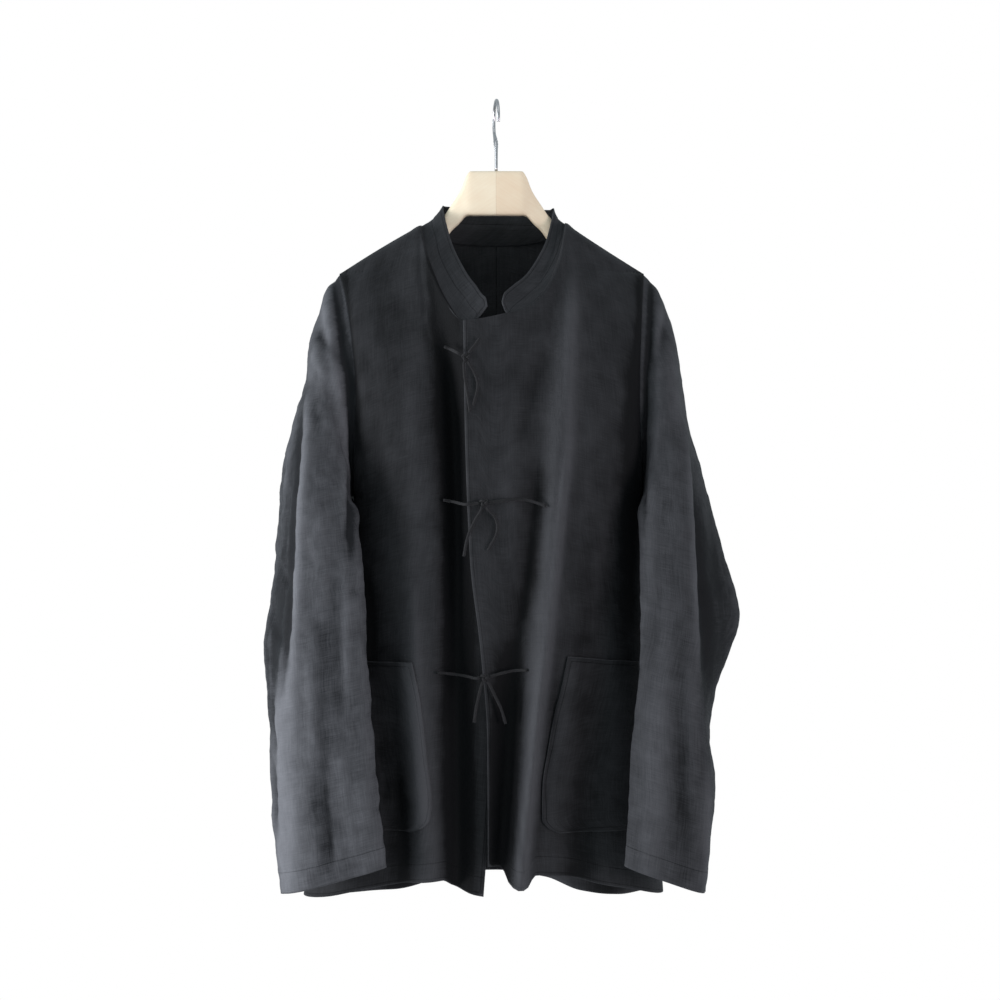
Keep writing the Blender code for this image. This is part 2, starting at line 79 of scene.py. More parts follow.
def spline(keys, values, at):
    # smooth through a table's column, never past its rows
    order = np.argsort(keys)
    keys = np.asarray(keys, float)[order]
    values = np.asarray(values, float)[order]
    at = np.clip(np.asarray(at, float), keys[0], keys[-1])
    rise = np.diff(values) / np.diff(keys)
    slopes = np.empty(len(keys))
    slopes[0], slopes[-1] = rise[0], rise[-1]
    product = rise[:-1] * rise[1:]
    total = np.where(rise[:-1] + rise[1:] == 0, 1.0, rise[:-1] + rise[1:])
    slopes[1:-1] = np.where(product > 0, 2 * product / total, 0.0)
    cell = np.clip(np.searchsorted(keys, at, side="right") - 1, 0, len(keys) - 2)
    span = keys[cell + 1] - keys[cell]
    return hermite(values[cell], values[cell + 1], slopes[cell], slopes[cell + 1], span,
                   (at - keys[cell]) / span)


def hermite(first, second, leave, reach, span, t):
    start = (1 + 2 * t) * (1 - t) ** 2 * first + t * (1 - t) ** 2 * span * leave
    return start + t * t * (3 - 2 * t) * second + t * t * (t - 1) * span * reach


def through(points, steps):
    # a smooth line or surface through evenly counted rows of points
    points = np.asarray(points, float)
    at = np.linspace(0, len(points) - 1, (len(points) - 1) * steps + 1)
    slopes = np.gradient(points, axis=0)
    cell = np.clip(at.astype(int), 0, len(points) - 2)
    t = (at - cell).reshape(-1, *[1] * (points.ndim - 1))
    return hermite(points[cell], points[cell + 1], slopes[cell], slopes[cell + 1], 1.0, t)


def along(rows, names, steps):
    return through(np.array([rows[name] for name in names.split()]).T, steps)


def lengths(points, axis):
    # running length along an axis of a grid
    steps = np.linalg.norm(np.diff(points, axis=axis), axis=-1)
    start = np.zeros_like(np.take(steps, [0], axis=axis))
    return np.concatenate([start, np.cumsum(steps, axis=axis)], axis=axis)


def smooth(low, high, value):
    t = np.clip((value - low) / (high - low), 0, 1)
    return t * t * (3 - 2 * t)


def powered(value, power):
    return np.sign(value) * np.abs(value) ** (2 / power)


def section(centre, half, deep, power, turn):
    # closed, round at power 2 and squarer above it
    across = powered(np.cos(turn), power)[:, None]
    forward = powered(np.sin(turn), power)[:, None]
    return centre + half * across + deep * forward


def normals(grid, closed=False):
    if closed:
        wide = np.concatenate([grid[:, -1:], grid, grid[:, :1]], axis=1)
        across = np.gradient(wide, axis=1)[:, 1:-1]
    else:
        across = np.gradient(grid, axis=1)
    normal = np.cross(np.gradient(grid, axis=0), across)
    return normal / np.maximum(np.linalg.norm(normal, axis=2, keepdims=True), 1e-9)


seedShift = (7.3, 3.1, 5.7)  # how far each seed moves the noise
creaseEnds = (-0.05, 0.25, 0.7, 1.08)  # where on its line a crease starts, is full, fades, ends


def crumple(points, size, seed, octaves=3):
    # soft creasing of crushed cloth, about -1 to 1 at each point
    shift = Vector([seed * step for step in seedShift])
    flat = points.reshape(-1, 3) / size
    values = [noise.fractal(Vector(p) + shift, 1.0, 2.1, octaves) for p in flat]
    return np.array(values).reshape(points.shape[:-1])


def creaseRise(creases, x, z):
    # soft troughs and ridges, each along its own slanted line
    start, full, fade, end = creaseEnds
    total = np.zeros_like(x)
    for one in rowsOf(creases):
        lineX, lineZ = one["lowX"] - one["topX"], one["lowZ"] - one["topZ"]
        length = np.hypot(lineX, lineZ)
        share = ((x - one["topX"]) * lineX + (z - one["topZ"]) * lineZ) / length ** 2
        aside = ((x - one["topX"]) * lineZ - (z - one["topZ"]) * lineX) / length
        ends = smooth(start, full, share) * (1 - smooth(fade, end, share))
        total += one["rise"] * ends * np.exp(-(aside / one["width"]) ** 2)
    return total


def linked(name, data):
    made = bpy.data.objects.new(name, data)
    bpy.context.scene.collection.objects.link(made)
    return made


# shader graphs

class Flow:
    # a socket of a material's graph: sums on it add Math nodes
    def __init__(self, tree, socket=None):
        self.tree = tree
        self.socket = socket

    def add(self, kind, settings=None, sockets=None, out=0):
        # any node: its settings first, then the values or links of its sockets
        made = self.tree.nodes.new(kind)
        for name, value in (settings or {}).items():
            setattr(made, name, value)
        for name, value in (sockets or {}).items():
            if isinstance(value, Flow):
                self.tree.links.new(value.socket, made.inputs[name])
            else:
                made.inputs[name].default_value = value
        return Flow(self.tree, made.outputs[out])

    def math(self, operation, *values):
        return self.add("ShaderNodeMath", {"operation": operation}, dict(enumerate(values)))

    def __add__(self, other):
        return self.math("ADD", self, other)

    def __sub__(self, other):
        return self.math("SUBTRACT", self, other)

    def __rsub__(self, other):
        return self.math("SUBTRACT", other, self)

    def __mul__(self, other):
        return self.math("MULTIPLY", self, other)

    def __truediv__(self, other):
        return self.math("DIVIDE", self, other)

    __radd__ = __add__
    __rmul__ = __mul__

    def sine(self):
        return self.math("SINE", self)

    def size(self):
        return self.math("ABSOLUTE", self)

    def atLeast(self, other):
        return self.math("MAXIMUM", self, other)

    def clamped(self):
        return self.math("MINIMUM", self.atLeast(0.0), 1.0)

    def line(self, centre, width):
        # 1 on a line at a distance, falling to 0 at its sides
        return (1 - (self - centre).size() / width).atLeast(0.0)

    def axis(self, which):
        # one part of a place, in millimetres
        return self.add("ShaderNodeSeparateXYZ", None, {0: self}, which) * metre

    def uvMap(self, name):
        place = self.add("ShaderNodeUVMap", {"uv_map": name})
        return place.axis(0), place.axis(1)

    def objectPlace(self):
        return self.add("ShaderNodeTexCoord", None, None, 3)

    def vector(self, x, y, z):
        return self.add("ShaderNodeCombineXYZ", None, {0: x, 1: y, 2: z})

    def mixed(self, first, second):
        # a colour between two, by this value
        return self.add("ShaderNodeMix", {"data_type": "RGBA"}, {0: self, 6: first, 7: second}, 2)

    def speckle(self, place, scale, detail=2.0, roughness=0.5):
        return self.add("ShaderNodeTexNoise", None,
                        {"Vector": place, "Scale": scale, "Detail": detail,
                         "Roughness": roughness})

    def bumped(self, strength, distance):
        return self.add("ShaderNodeBump", None,
                        {"Strength": strength, "Distance": distance, "Height": self})


def newLook(name, **fixed):
    # a Principled material, its graph and its shader; fixed values go on the shader's sockets
    look = bpy.data.materials.new(name)
    look.use_nodes = True
    shader = look.node_tree.nodes["Principled BSDF"]
    for socket, value in fixed.items():
        shader.inputs[socket].default_value = value
    return look, Flow(look.node_tree), shader


def plug(flow, shader, **links):
    for name, value in links.items():
        flow.tree.links.new(value.socket, shader.inputs[name.replace("_", " ")])


def tinted(colour, tint):
    return tuple(channel * tint for channel in colour) + (1,)


linenLook = {
    "dark": (0.0050, 0.0054, 0.0062),
    "pale": (0.066, 0.068, 0.075),
    "rubbed": (0.060, 0.062, 0.068, 1),
    "thread": 0.62,  # mm from thread to thread
    "slubLong": 26.0,  # mm along a thick place in a thread, and across it
    "slubWide": 0.9,
    "blotchSize": 24.0,
    "crushSize": 11.0,
    "rubbedWide": 1.6,  # mm in from a finished edge
    "stitchWide": 0.7,
    "creaseWide": 0.9,
    "weaveDepth": 0.03,  # mm
    "slubDepth": 0.18,
    "crushDepth": 0.5,
    "stitchDepth": 0.35,
    "evenPale": 0.28,  # how far flat cloth is from dark to pale, and what its threads, slubs, blotches, stitches and the painted shade and light of the folds change
    "weavePale": 0.03,  # threads, slubs, blotches, fold ridges and stitches change
    "slubPale": 0.26,
    "blotchPale": 0.26,
    "foldPaintedLight": 0.40,
    "stitchAndCreaseDark": 0.2,
    "rubbedShare": 0.55,  # how far an edge is rubbed, and how unevenly
    "rubbedUneven": 0.8,
    "roughness": 0.66,
    "slubRough": 0.15,
    "sheen": 0.02,
    "sheenRough": 0.45,
    "sheenTint": (0.82, 0.88, 1.0, 1),
    "gloss": 0.08,
    "layers": (3.7, 9.1, 1.3, 5.9),  # heights at which the four noises are cut
}


def linen(name, rimRow=4.0, hemRow=0.0, middleCreaseShade=False, tint=1.0):
    # plain weave with slubs, crushed a little, rubbed pale at its edges, with stitch rows; painted
    # shade in fold troughs and painted light on fold ridges
    cloth = linenLook
    look, flow, shader = newLook(name, **{
        "Specular IOR Level": cloth["gloss"], "Sheen Weight": cloth["sheen"],
        "Sheen Roughness": cloth["sheenRough"], "Sheen Tint": cloth["sheenTint"]})
    across, down = flow.uvMap("cut")
    edge, paintedLightShade = flow.uvMap("rim")
    perThread = 2 * pi / cloth["thread"]
    weave = (across * perThread).sine() * (down * perThread).sine()
    wide, long, layers = cloth["slubWide"], cloth["slubLong"], cloth["layers"]
    slub = (flow.speckle(flow.vector(across / wide, down / long, layers[0]), 1.0, 1.0)
            + flow.speckle(flow.vector(across / long, down / wide, layers[1]), 1.0, 1.0) - 1.0)
    blotch, crush = (
        flow.speckle(flow.vector(across, down, layer), 1 / cloth[size], 3.0, 0.55) - 0.5
        for layer, size in ((layers[2], "blotchSize"), (layers[3], "crushSize")))
    creased = crush.size() * 2
    rubbed = (1 - edge / cloth["rubbedWide"]).atLeast(0.0)
    stitchesAndCreaseShade = edge.line(rimRow, cloth["stitchWide"])
    if hemRow:
        stitchesAndCreaseShade = stitchesAndCreaseShade.atLeast(down.line(hemRow, cloth["stitchWide"]))
    # painted shade: a dark line down the middle crease of the back, added to the stitch rows
    if middleCreaseShade:
        stitchesAndCreaseShade = stitchesAndCreaseShade.atLeast(across.line(0.0, cloth["creaseWide"]))
    # painted shade and light: the rim map's second value darkens fold troughs and pales fold
    # ridges
    share = (cloth["evenPale"] + slub * cloth["slubPale"] + blotch * cloth["blotchPale"]
             + weave * cloth["weavePale"] - stitchesAndCreaseShade * cloth["stitchAndCreaseDark"]
             + paintedLightShade * cloth["foldPaintedLight"]).clamped()
    tone = share.mixed(tinted(cloth["dark"], tint), tinted(cloth["pale"], tint))
    worn = rubbed * (slub * cloth["rubbedUneven"] + cloth["rubbedShare"])
    height = (weave * cloth["weaveDepth"] + slub * cloth["slubDepth"]
              - creased * cloth["crushDepth"] - stitchesAndCreaseShade * cloth["stitchDepth"])
    plug(flow, shader, Base_Color=worn.mixed(tone, cloth["rubbed"]),
         Roughness=cloth["roughness"] + slub * cloth["slubRough"],
         Normal=height.bumped(1.0, millimetre))
    return look


woodLook = {
    "light": (0.90, 0.80, 0.62, 1),
    "deep": (0.78, 0.58, 0.40, 1),
    "joint": (0.40, 0.27, 0.16, 1),
    "jointWide": 0.35,  # mm
    "fall": 0.62,  # how steeply the grain falls along each arm
    "grain": 2.6,  # mm from a light ring to a dark one
    "wander": 5.0,
    "driftSize": (60, 30, 9),  # mm
    "fleckSize": (9, 2, 0.7),
    "mottleSize": 22.0,
    "evenDeep": 0.20,  # how far the wood is from light to deep, and what its rings, flecks, mottling and the right arm's painted shade change
    "ringDeep": 0.04,  # flecks, mottling and right arm change
    "fleckDeep": 0.3,
    "mottleDeep": 0.5,
    "rightArmShade": 0.30,
    "roughness": 0.42,
    "fleckRough": 0.12,
    "bump": 0.0002,
}


def woodMaterial():
    # pale beech: long grain with short dark flecks under a thin clear coat, and painted shade that
    # darkens the whole right arm
    wood = woodLook
    look, flow, shader = newLook("palewood", **{"Coat Weight": 0.15, "Coat Roughness": 0.25,
                                                "Specular IOR Level": 0.4})
    place = flow.objectPlace()
    x, y, z = place.axis(0), place.axis(1), place.axis(2)
    # the grain follows each arm down from the mitre in the middle
    lean = z + x.size() * wood["fall"]
    drift, fleck = (
        flow.speckle(flow.vector(x / size[0], y / size[1], lean / size[2]), 1.0, detail)
        for size, detail in ((wood["driftSize"], 3.0), (wood["fleckSize"], 2.0)))
    ring = ((lean / wood["grain"] + drift * wood["wander"]) * pi).sine()
    mottle = flow.speckle(flow.vector(x, y, z), 1 / wood["mottleSize"], 2.0)
    # painted shade: the right arm, the face turned from the light, is made deeper in colour
    shadedRightArm = flow.math("GREATER_THAN", x, 0.0)
    share = (wood["evenDeep"] + ring * wood["ringDeep"] + (fleck - 0.5) * wood["fleckDeep"]
             + (mottle - 0.5) * wood["mottleDeep"] + shadedRightArm * wood["rightArmShade"]).clamped()
    joint = x.line(0.0, wood["jointWide"])
    colour = (joint * 0.5).mixed(share.mixed(wood["light"], wood["deep"]), wood["joint"])
    plug(flow, shader, Base_Color=colour,
         Roughness=wood["roughness"] + fleck * wood["fleckRough"],
         Normal=(fleck * 0.6 - joint).bumped(0.6, wood["bump"]))
    return look


wireLook = {
    "dull": (0.34, 0.34, 0.36, 1), "bright": (0.62, 0.62, 0.64, 1),
    "smears": 160.0, "roughness": 0.16, "smearRough": 0.18,
}


def wireMaterial():
    look, flow, shader = newLook("chromewire", **{"Metallic": 1.0})
    smear = flow.speckle(flow.objectPlace(), wireLook["smears"], 3.0)
    plug(flow, shader, Base_Color=smear.mixed(wireLook["dull"], wireLook["bright"]),
         Roughness=wireLook["roughness"] + smear * wireLook["smearRough"])
    return look


print("materials ready")


# cut of the body

bodyEdge = table(
    "z left right",
    (-207, -188, 177), (-231, -180, 174), (-280, -171, 171), (-350, -165, 169),
    (-450, -169, 173), (-560, -179, 181), (-700, -197, 188), (-800, -210, 191),
    (-960, -232, 201))
shoulder = table(
    "x z",
    (-188, -207), (-143, -179), (-105, -157), (-90, -149), (83, -146), (94, -154),
    (132, -179), (177, -207))
armhole = {
    "top": -207.0, "bottom": -474.0, "front": -52.0, "back": 56.0,
    "soft": 0.95, "softPower": 4, "seamPower": 10,
}
body = {
    "wall": 1.0,  # mm of the shown shell
    "cadWall": 2.0,  # mm of the solid that it stands for
    "squareness": 2.4,
    "seamShare": 0.24,  # how much of the depth the cloth takes at the shoulder's turn
    "seamRadius": 12.0,
    "fall": 85.0,
    "edgePull": 6,  # how closely the cloth keeps to the side seam
    "calmTop": 40.0,  # the folds begin below the top, and end before the side
    "calmSide": 8,
    "foldStart": 18.0,
    "crumpleSize": 38.0,
    "frontRows": 210,
    "backRows": 170,
    "evenRows": 0.7,  # the rest of the rows crowd towards the top
    "extraRows": (0.15, 0.5),  # two more in the first gap
    "shoulderSteps": 60,
    "neckSteps": 5,
}
# how strongly folds, creases and crumples paint shade and light into the panels' colour
panelShadeTone = {"fullFold": 14, "fullCrease": 5, "crumple": 0.2, "darkest": -1, "palest": 1.5}

frontUnder = {
    "side": "left", "out": -1, "reach": armhole["front"], "seed": 1, "crumple": 0.45,
    "middle": table(
        "z x y",
        (-268, -21, -92), (-400, -2, -89), (-700, 0, -90), (-850, -8, -91), (-945, -15, -92)),
    "neck": table(
        "x y z",
        (-21, -92, -268), (-40, -91, -270), (-53, -84, -254), (-65, -72, -232),
        (-78, -52, -199), (-84, -35, -177), (-90, 0, -149)),
    "hem": table(
        "x z",
        (-232, -952), (-200, -946), (-160, -935), (-122, -927), (-65, -920), (-52, -928),
        (-30, -937), (-15, -939)),
    "folds": foldTable(
        (-128, -230, -74, -960, 22, 5, 12), (-50, -300, -46, -960, 15, -10, -16),
        (-158, -420, -114, -960, 24, -3, -7)),
    "creases": creaseTable(
        (-150, -250, -120, -470, 9, 1.2), (-100, -330, -86, -560, 10, 0.9),
        (-72, -520, -50, -565, 5, 0.8), (-84, -560, -52, -500, 5, 0.7),
        (-120, -600, -104, -900, 8, -1.2), (-88, -640, -78, -900, 7, 0.9),
        (-66, -700, -60, -925, 5, -0.8), (-140, -760, -128, -930, 7, 1.0),
        (-70, -150, -44, -480, 17, -7.0), (-44, -330, -40, -1020, 15, -8.0),
        (-190, -160, -162, -420, 7, -9.0), (-162, -330, -152, -660, 8, -1.0),
        (-98, -540, -84, -960, 8, 2.4), (-118, -180, -104, -640, 15, -2.2),
        (-140, -150, -124, -520, 18, -3.0), (-110, -780, -102, -1010, 9, -4.0),
        (-60, -170, -40, -620, 9, -3.0), (-150, -560, -146, -700, 9, -2.6)),
}
frontOver = {
    "side": "right", "out": -1, "reach": armhole["front"], "seed": 2, "crumple": 0.45,
    "middle": table(
        "z x y",
        (-271, -38, -97), (-398, -36, -100), (-549, -30, -102), (-652, -18, -102),
        (-756, -10, -103), (-945, -9, -104)),
    "neck": table(
        "x y z",
        (-38, -97, -271), (-14, -97, -268), (13, -95, -262), (30, -89, -258), (47, -80, -246),
        (61, -70, -227), (72, -52, -199), (78, -35, -177), (83, 0, -146)),
    "hem": table(
        "x z",
        (-9, -903), (6, -905), (18, -924), (34, -926), (46, -912), (75, -914), (121, -925),
        (160, -934), (201, -948)),
    "folds": foldTable(
        (89, -235, 22, -960, 15, 9, 24), (52, -420, 4, -960, 15, -4, -15),
        (128, -520, 92, -960, 20, -2, -9), (-25, -560, -3, -960, 16, 2, 5)),
    "creases": creaseTable(
        (60, -300, 22, -420, 9, -1.5), (26, -330, 8, -560, 10, 1.2),
        (-10, -420, 40, -520, 7, 0.9), (-4, -500, 30, -620, 8, -1.0),
        (44, -560, 30, -760, 8, 1.1), (110, -300, 102, -560, 10, 1.0),
        (140, -420, 128, -640, 9, -1.0), (12, -620, -2, -740, 7, 1.0),
        (14, -620, 2, -1040, 16, -11.0), (90, -190, 85, -470, 8, 3.4),
        (87, -390, 54, -720, 6, 6.6), (58, -640, 18, -1000, 6, 7.6),
        (56, -430, 34, -640, 9, -3.2), (178, -160, 166, -420, 8, -7.0),
        (164, -250, 150, -720, 13, -5.0), (74, -640, 40, -940, 6, -3.0),
        (110, -420, 84, -960, 12, -1.4)),
}
backNeck = table(
    "x y z",
    (-90, 0, -149), (-84, 27, -154), (-66, 47, -159), (-36, 59, -163), (-3, 62, -164),
    (30, 59, -163), (60, 47, -159), (77, 27, -152), (83, 0, -146))
backShared = {
    "out": 1, "reach": armhole["back"], "seed": 3, "crumple": 0.5,
    "middle": table(
        "z x y",
        (-164, 0, 62), (-250, 0, 68), (-400, 0, 72), (-600, 0, 70), (-960, 0, 66)),
    "hem": table(
        "x z",
        (-232, -952), (-189, -961), (-120, -956), (-60, -945), (0, -934), (60, -946),
        (105, -960), (150, -962), (201, -948)),
    "folds": foldTable(
        (-96, -260, -118, -960, 26, -5, -14), (-52, -330, -60, -960, 22, 3, 12),
        (4, -300, 2, -960, 24, -3, -13), (58, -320, 70, -960, 22, 4, 11),
        (104, -270, 132, -960, 26, -5, -12)),
    "creases": creaseTable(
        (-130, -240, -90, -420, 10, 1.3), (120, -240, 92, -420, 10, 1.3),
        (-30, -260, -22, -520, 9, -1.0), (34, -280, 26, -560, 9, -1.0),
        (-150, -520, -136, -860, 8, 1.2), (150, -540, 142, -880, 8, 1.2),
        (-84, -640, -90, -930, 8, -1.1), (96, -650, 104, -930, 8, 1.0)),
}
halfNeck = len(backNeck["x"]) // 2
backLeft = dict(backShared, side="left",
                neck={name: values[halfNeck::-1] for name, values in backNeck.items()})
backRight = dict(backShared, side="right",
                 neck={name: values[halfNeck:] for name, values in backNeck.items()})


def armholeReach(z, reach, share):
    # half a ring at the armhole's seam, its lower end softer towards the middle of the panel
    middle = (armhole["top"] + armhole["bottom"]) / 2
    half = (armhole["top"] - armhole["bottom"]) / 2
    off = (z - middle) / half
    exact = np.sqrt(1 - np.clip(off, -1, 1) ** 2)
    soft = np.where(off > 0, exact, np.exp(-(off / armhole["soft"]) ** armhole["softPower"]))
    return reach * (soft + (exact - soft) * share ** armhole["seamPower"])


def foldRise(folds, x, z):
    # each fold is a soft ridge along its own slanted line, growing downwards
    total = np.zeros_like(x)
    for fold in rowsOf(folds):
        share = np.clip((z - fold["topZ"]) / (fold["lowZ"] - fold["topZ"]), 0, 1)
        line = fold["topX"] + (fold["lowX"] - fold["topX"]) * share
        rise = fold["topRise"] + (fold["lowRise"] - fold["topRise"]) * share
        start = 1 / (1 + np.exp((z - fold["topZ"]) / body["foldStart"]))
        total += rise * start * np.exp(-(((x - line) / fold["width"]) ** 2))
    return total


def flatCrumple(piece, x, z):
    place = np.stack([x, np.zeros_like(x), z], axis=-1)
    return crumple(place, body["crumpleSize"], piece["seed"])


def panelSpan(piece, z):
    # where the panel's middle and side are across, at a height
    return (spline(piece["middle"]["z"], piece["middle"]["x"], z),
            spline(bodyEdge["z"], bodyEdge[piece["side"]], z))


def panelSurface(piece, share, z, topY, topZ):
    # a rounded quarter section at each height; share runs 0 middle to 1 side
    middleX, edgeX = panelSpan(piece, z)
    middleY = spline(piece["middle"]["z"], piece["middle"]["y"], z)
    edgeY = armholeReach(z, piece["reach"], share)
    x = middleX + (edgeX - middleX) * share
    square = body["squareness"]
    drape = edgeY + (middleY - edgeY) * (1 - share ** square) ** (1 / square)
    drop = np.maximum(topZ - z, 0)
    bend = np.sqrt(1 - (1 - np.minimum(drop / body["seamRadius"], 1)) ** 2)
    fall = (body["seamShare"] * bend
            + (1 - body["seamShare"]) * (1 - np.exp(-drop / body["fall"])))
    y = topY + (drape - topY) * fall + (edgeY - topY) * (1 - fall) * share ** body["edgePull"]
    still = (1 - np.exp(-drop / body["calmTop"])) * (1 - share ** body["calmSide"])
    rise = foldRise(piece["folds"], x, z) + creaseRise(piece["creases"], x, z)
    rise = rise + flatCrumple(piece, x, z) * piece["crumple"] * 2
    return x, y + piece["out"] * rise * still


def panelColumns(piece):
    # along the neck, then out the shoulder
    neck = along(piece["neck"], "x y z", body["neckSteps"])
    tip = bodyEdge[piece["side"]][0]
    side = np.sin(np.linspace(0, pi / 2, body["shoulderSteps"] + 1))[1:]
    x = neck[-1, 0] + (tip - neck[-1, 0]) * side
    z = spline(shoulder["x"], shoulder["z"], x)
    return np.vstack([neck, np.array([x, np.zeros(len(x)), z]).T])


def panelShare(piece, x, z):
    middleX, edgeX = panelSpan(piece, z)
    return np.clip((x - middleX) / (edgeX - middleX), 0, 1)


def panelGrid(piece, rows):
    starts = panelColumns(piece)
    share = panelShare(piece, starts[:, 0], starts[:, 2])
    share[0], share[-1] = 0.0, 1.0
    middle, edge = panelSpan(piece, piece["middle"]["z"][-1])
    hemZ = spline(piece["hem"]["x"], piece["hem"]["z"], middle + (edge - middle) * share)
    step = np.linspace(0, 1, rows)
    parts = body["evenRows"] * step + (1 - body["evenRows"]) * step ** 2
    parts = np.insert(parts, 1, [parts[1] * extra for extra in body["extraRows"]])
    z = starts[:, 2] + (hemZ - starts[:, 2]) * parts[:, None]
    share = np.broadcast_to(share, z.shape)
    x, y = panelSurface(piece, share, z, starts[:, 1], starts[:, 2])
    return np.stack([x, y, z], axis=-1)


def panelPoint(piece, x, z):
    # the panel's point that shows at a place of the front view
    starts = panelColumns(piece)
    share = panelShare(piece, x, z)
    marks = panelShare(piece, starts[:, 0], starts[:, 2])
    order = np.argsort(marks)
    topY = np.interp(share, marks[order], starts[order, 1])
    topZ = np.interp(share, marks[order], starts[order, 2])
    return np.stack([x, panelSurface(piece, share, z, topY, topZ)[1], z], axis=-1)


def cutMap(grid, closed=False, fromMiddle=False):
    # place on the cut cloth: across from the first edge, down measured up from the hem
    loop = np.concatenate([grid, grid[:, :1]], axis=1) if closed else grid
    across = lengths(loop, 1)
    if fromMiddle:
        across = across - across[:, across.shape[1] // 2, None]
    down = lengths(loop, 0)
    return np.stack([across, down[-1] - down], axis=-1)


def area(grid, closed):
    # the cloth's area in square metres
    loop = np.concatenate([grid, grid[:, :1]], axis=1) if closed else grid
    sides = np.cross(loop[1:, :-1] - loop[:-1, :-1], loop[:-1, 1:] - loop[:-1, :-1])
    return np.linalg.norm(sides, axis=2).sum() * millimetre ** 2


def clothPiece(name, node, grid, look, cut, rim, closed=False, wall=body["wall"]):
    # a thin shell through rows of points, with its maps in metres and the size of its cut
    rows, files = grid.shape[:2]
    row = np.arange(rows - 1)[:, None] * files
    file = np.arange(files if closed else files - 1)[None, :]
    first, second = row + file, row + (file + 1) % files
    quads = np.stack([first, second, second + files, first + files], axis=-1).reshape(-1, 4)
    mesh = bpy.data.meshes.new(name)
    mesh.from_pydata((grid.reshape(-1, 3) * millimetre).tolist(), [], quads.tolist())
    for mapName, values in (("cut", cut), ("rim", rim)):
        corners = np.stack([values[:-1, :-1], values[:-1, 1:], values[1:, 1:],
                            values[1:, :-1]], axis=2)
        layer = mesh.uv_layers.new(name=mapName)
        layer.data.foreach_set("uv", (corners.reshape(-1) * millimetre).astype(np.float32))
    mesh.shade_smooth()
    mesh.materials.append(look)
    piece = linked(name, mesh)
    thicken = piece.modifiers.new("wall", "SOLIDIFY")
    thicken.thickness = wall * millimetre
    thicken.offset = 0
    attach(piece, "root")
    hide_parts(node)
    cutArea = area(grid, closed)
    print(name, "area", round(cutArea, 4))


def rimMap(paintedLightShade, *distances):
    # distance to the nearest finished edge, and the painted shade and light of the folds: darker
    # in troughs, paler on ridges
    nearest = np.minimum.reduce(distances)
    return np.stack([nearest, np.broadcast_to(paintedLightShade, nearest.shape)], axis=-1)


def panelPaintedLightShade(piece, grid):
    # painted shade and light of a panel: darker in the troughs of folds, creases and crumples,
    # paler on their ridges
    x, z = grid[..., 0], grid[..., 2]
    rise = (foldRise(piece["folds"], x, z) / panelShadeTone["fullFold"]
            + creaseRise(piece["creases"], x, z) / panelShadeTone["fullCrease"]
            + flatCrumple(piece, x, z) * panelShadeTone["crumple"])
    return np.clip(rise, panelShadeTone["darkest"], panelShadeTone["palest"])


bodyLook = linen("charcoalLinen", rimRow=4.0, hemRow=22.0)
# painted light: tint 1.4 makes the back's linen a brighter copy, lifting its shaded inside
backLook = linen("charcoalLinenBack", rimRow=-9.0, hemRow=22.0, middleCreaseShade=True, tint=1.4)


def bodyPanels():
    for name, node, piece, flat in (("underFront", "front_under", frontUnder, (0.33, 0.80)),
                                    ("overFront", "front_over", frontOver, (0.36, 0.80))):
        grid = panelGrid(piece, body["frontRows"])
        cut = cutMap(grid)
        rim = rimMap(panelPaintedLightShade(piece, grid), cut[..., 0], cut[..., 1])
        clothPiece(name, node, grid, bodyLook, cut, rim)
    left = panelGrid(backLeft, body["backRows"])
    right = panelGrid(backRight, body["backRows"])
    grid = np.concatenate([left[:, ::-1], right[:, 1:]], axis=1)
    cut = cutMap(grid, fromMiddle=True)
    clothPiece("backPanel", "back", grid, backLook, cut,
               rimMap(panelPaintedLightShade(backShared, grid), cut[..., 1]))


bodyPanels()
print("body panels hung")


# sleeves

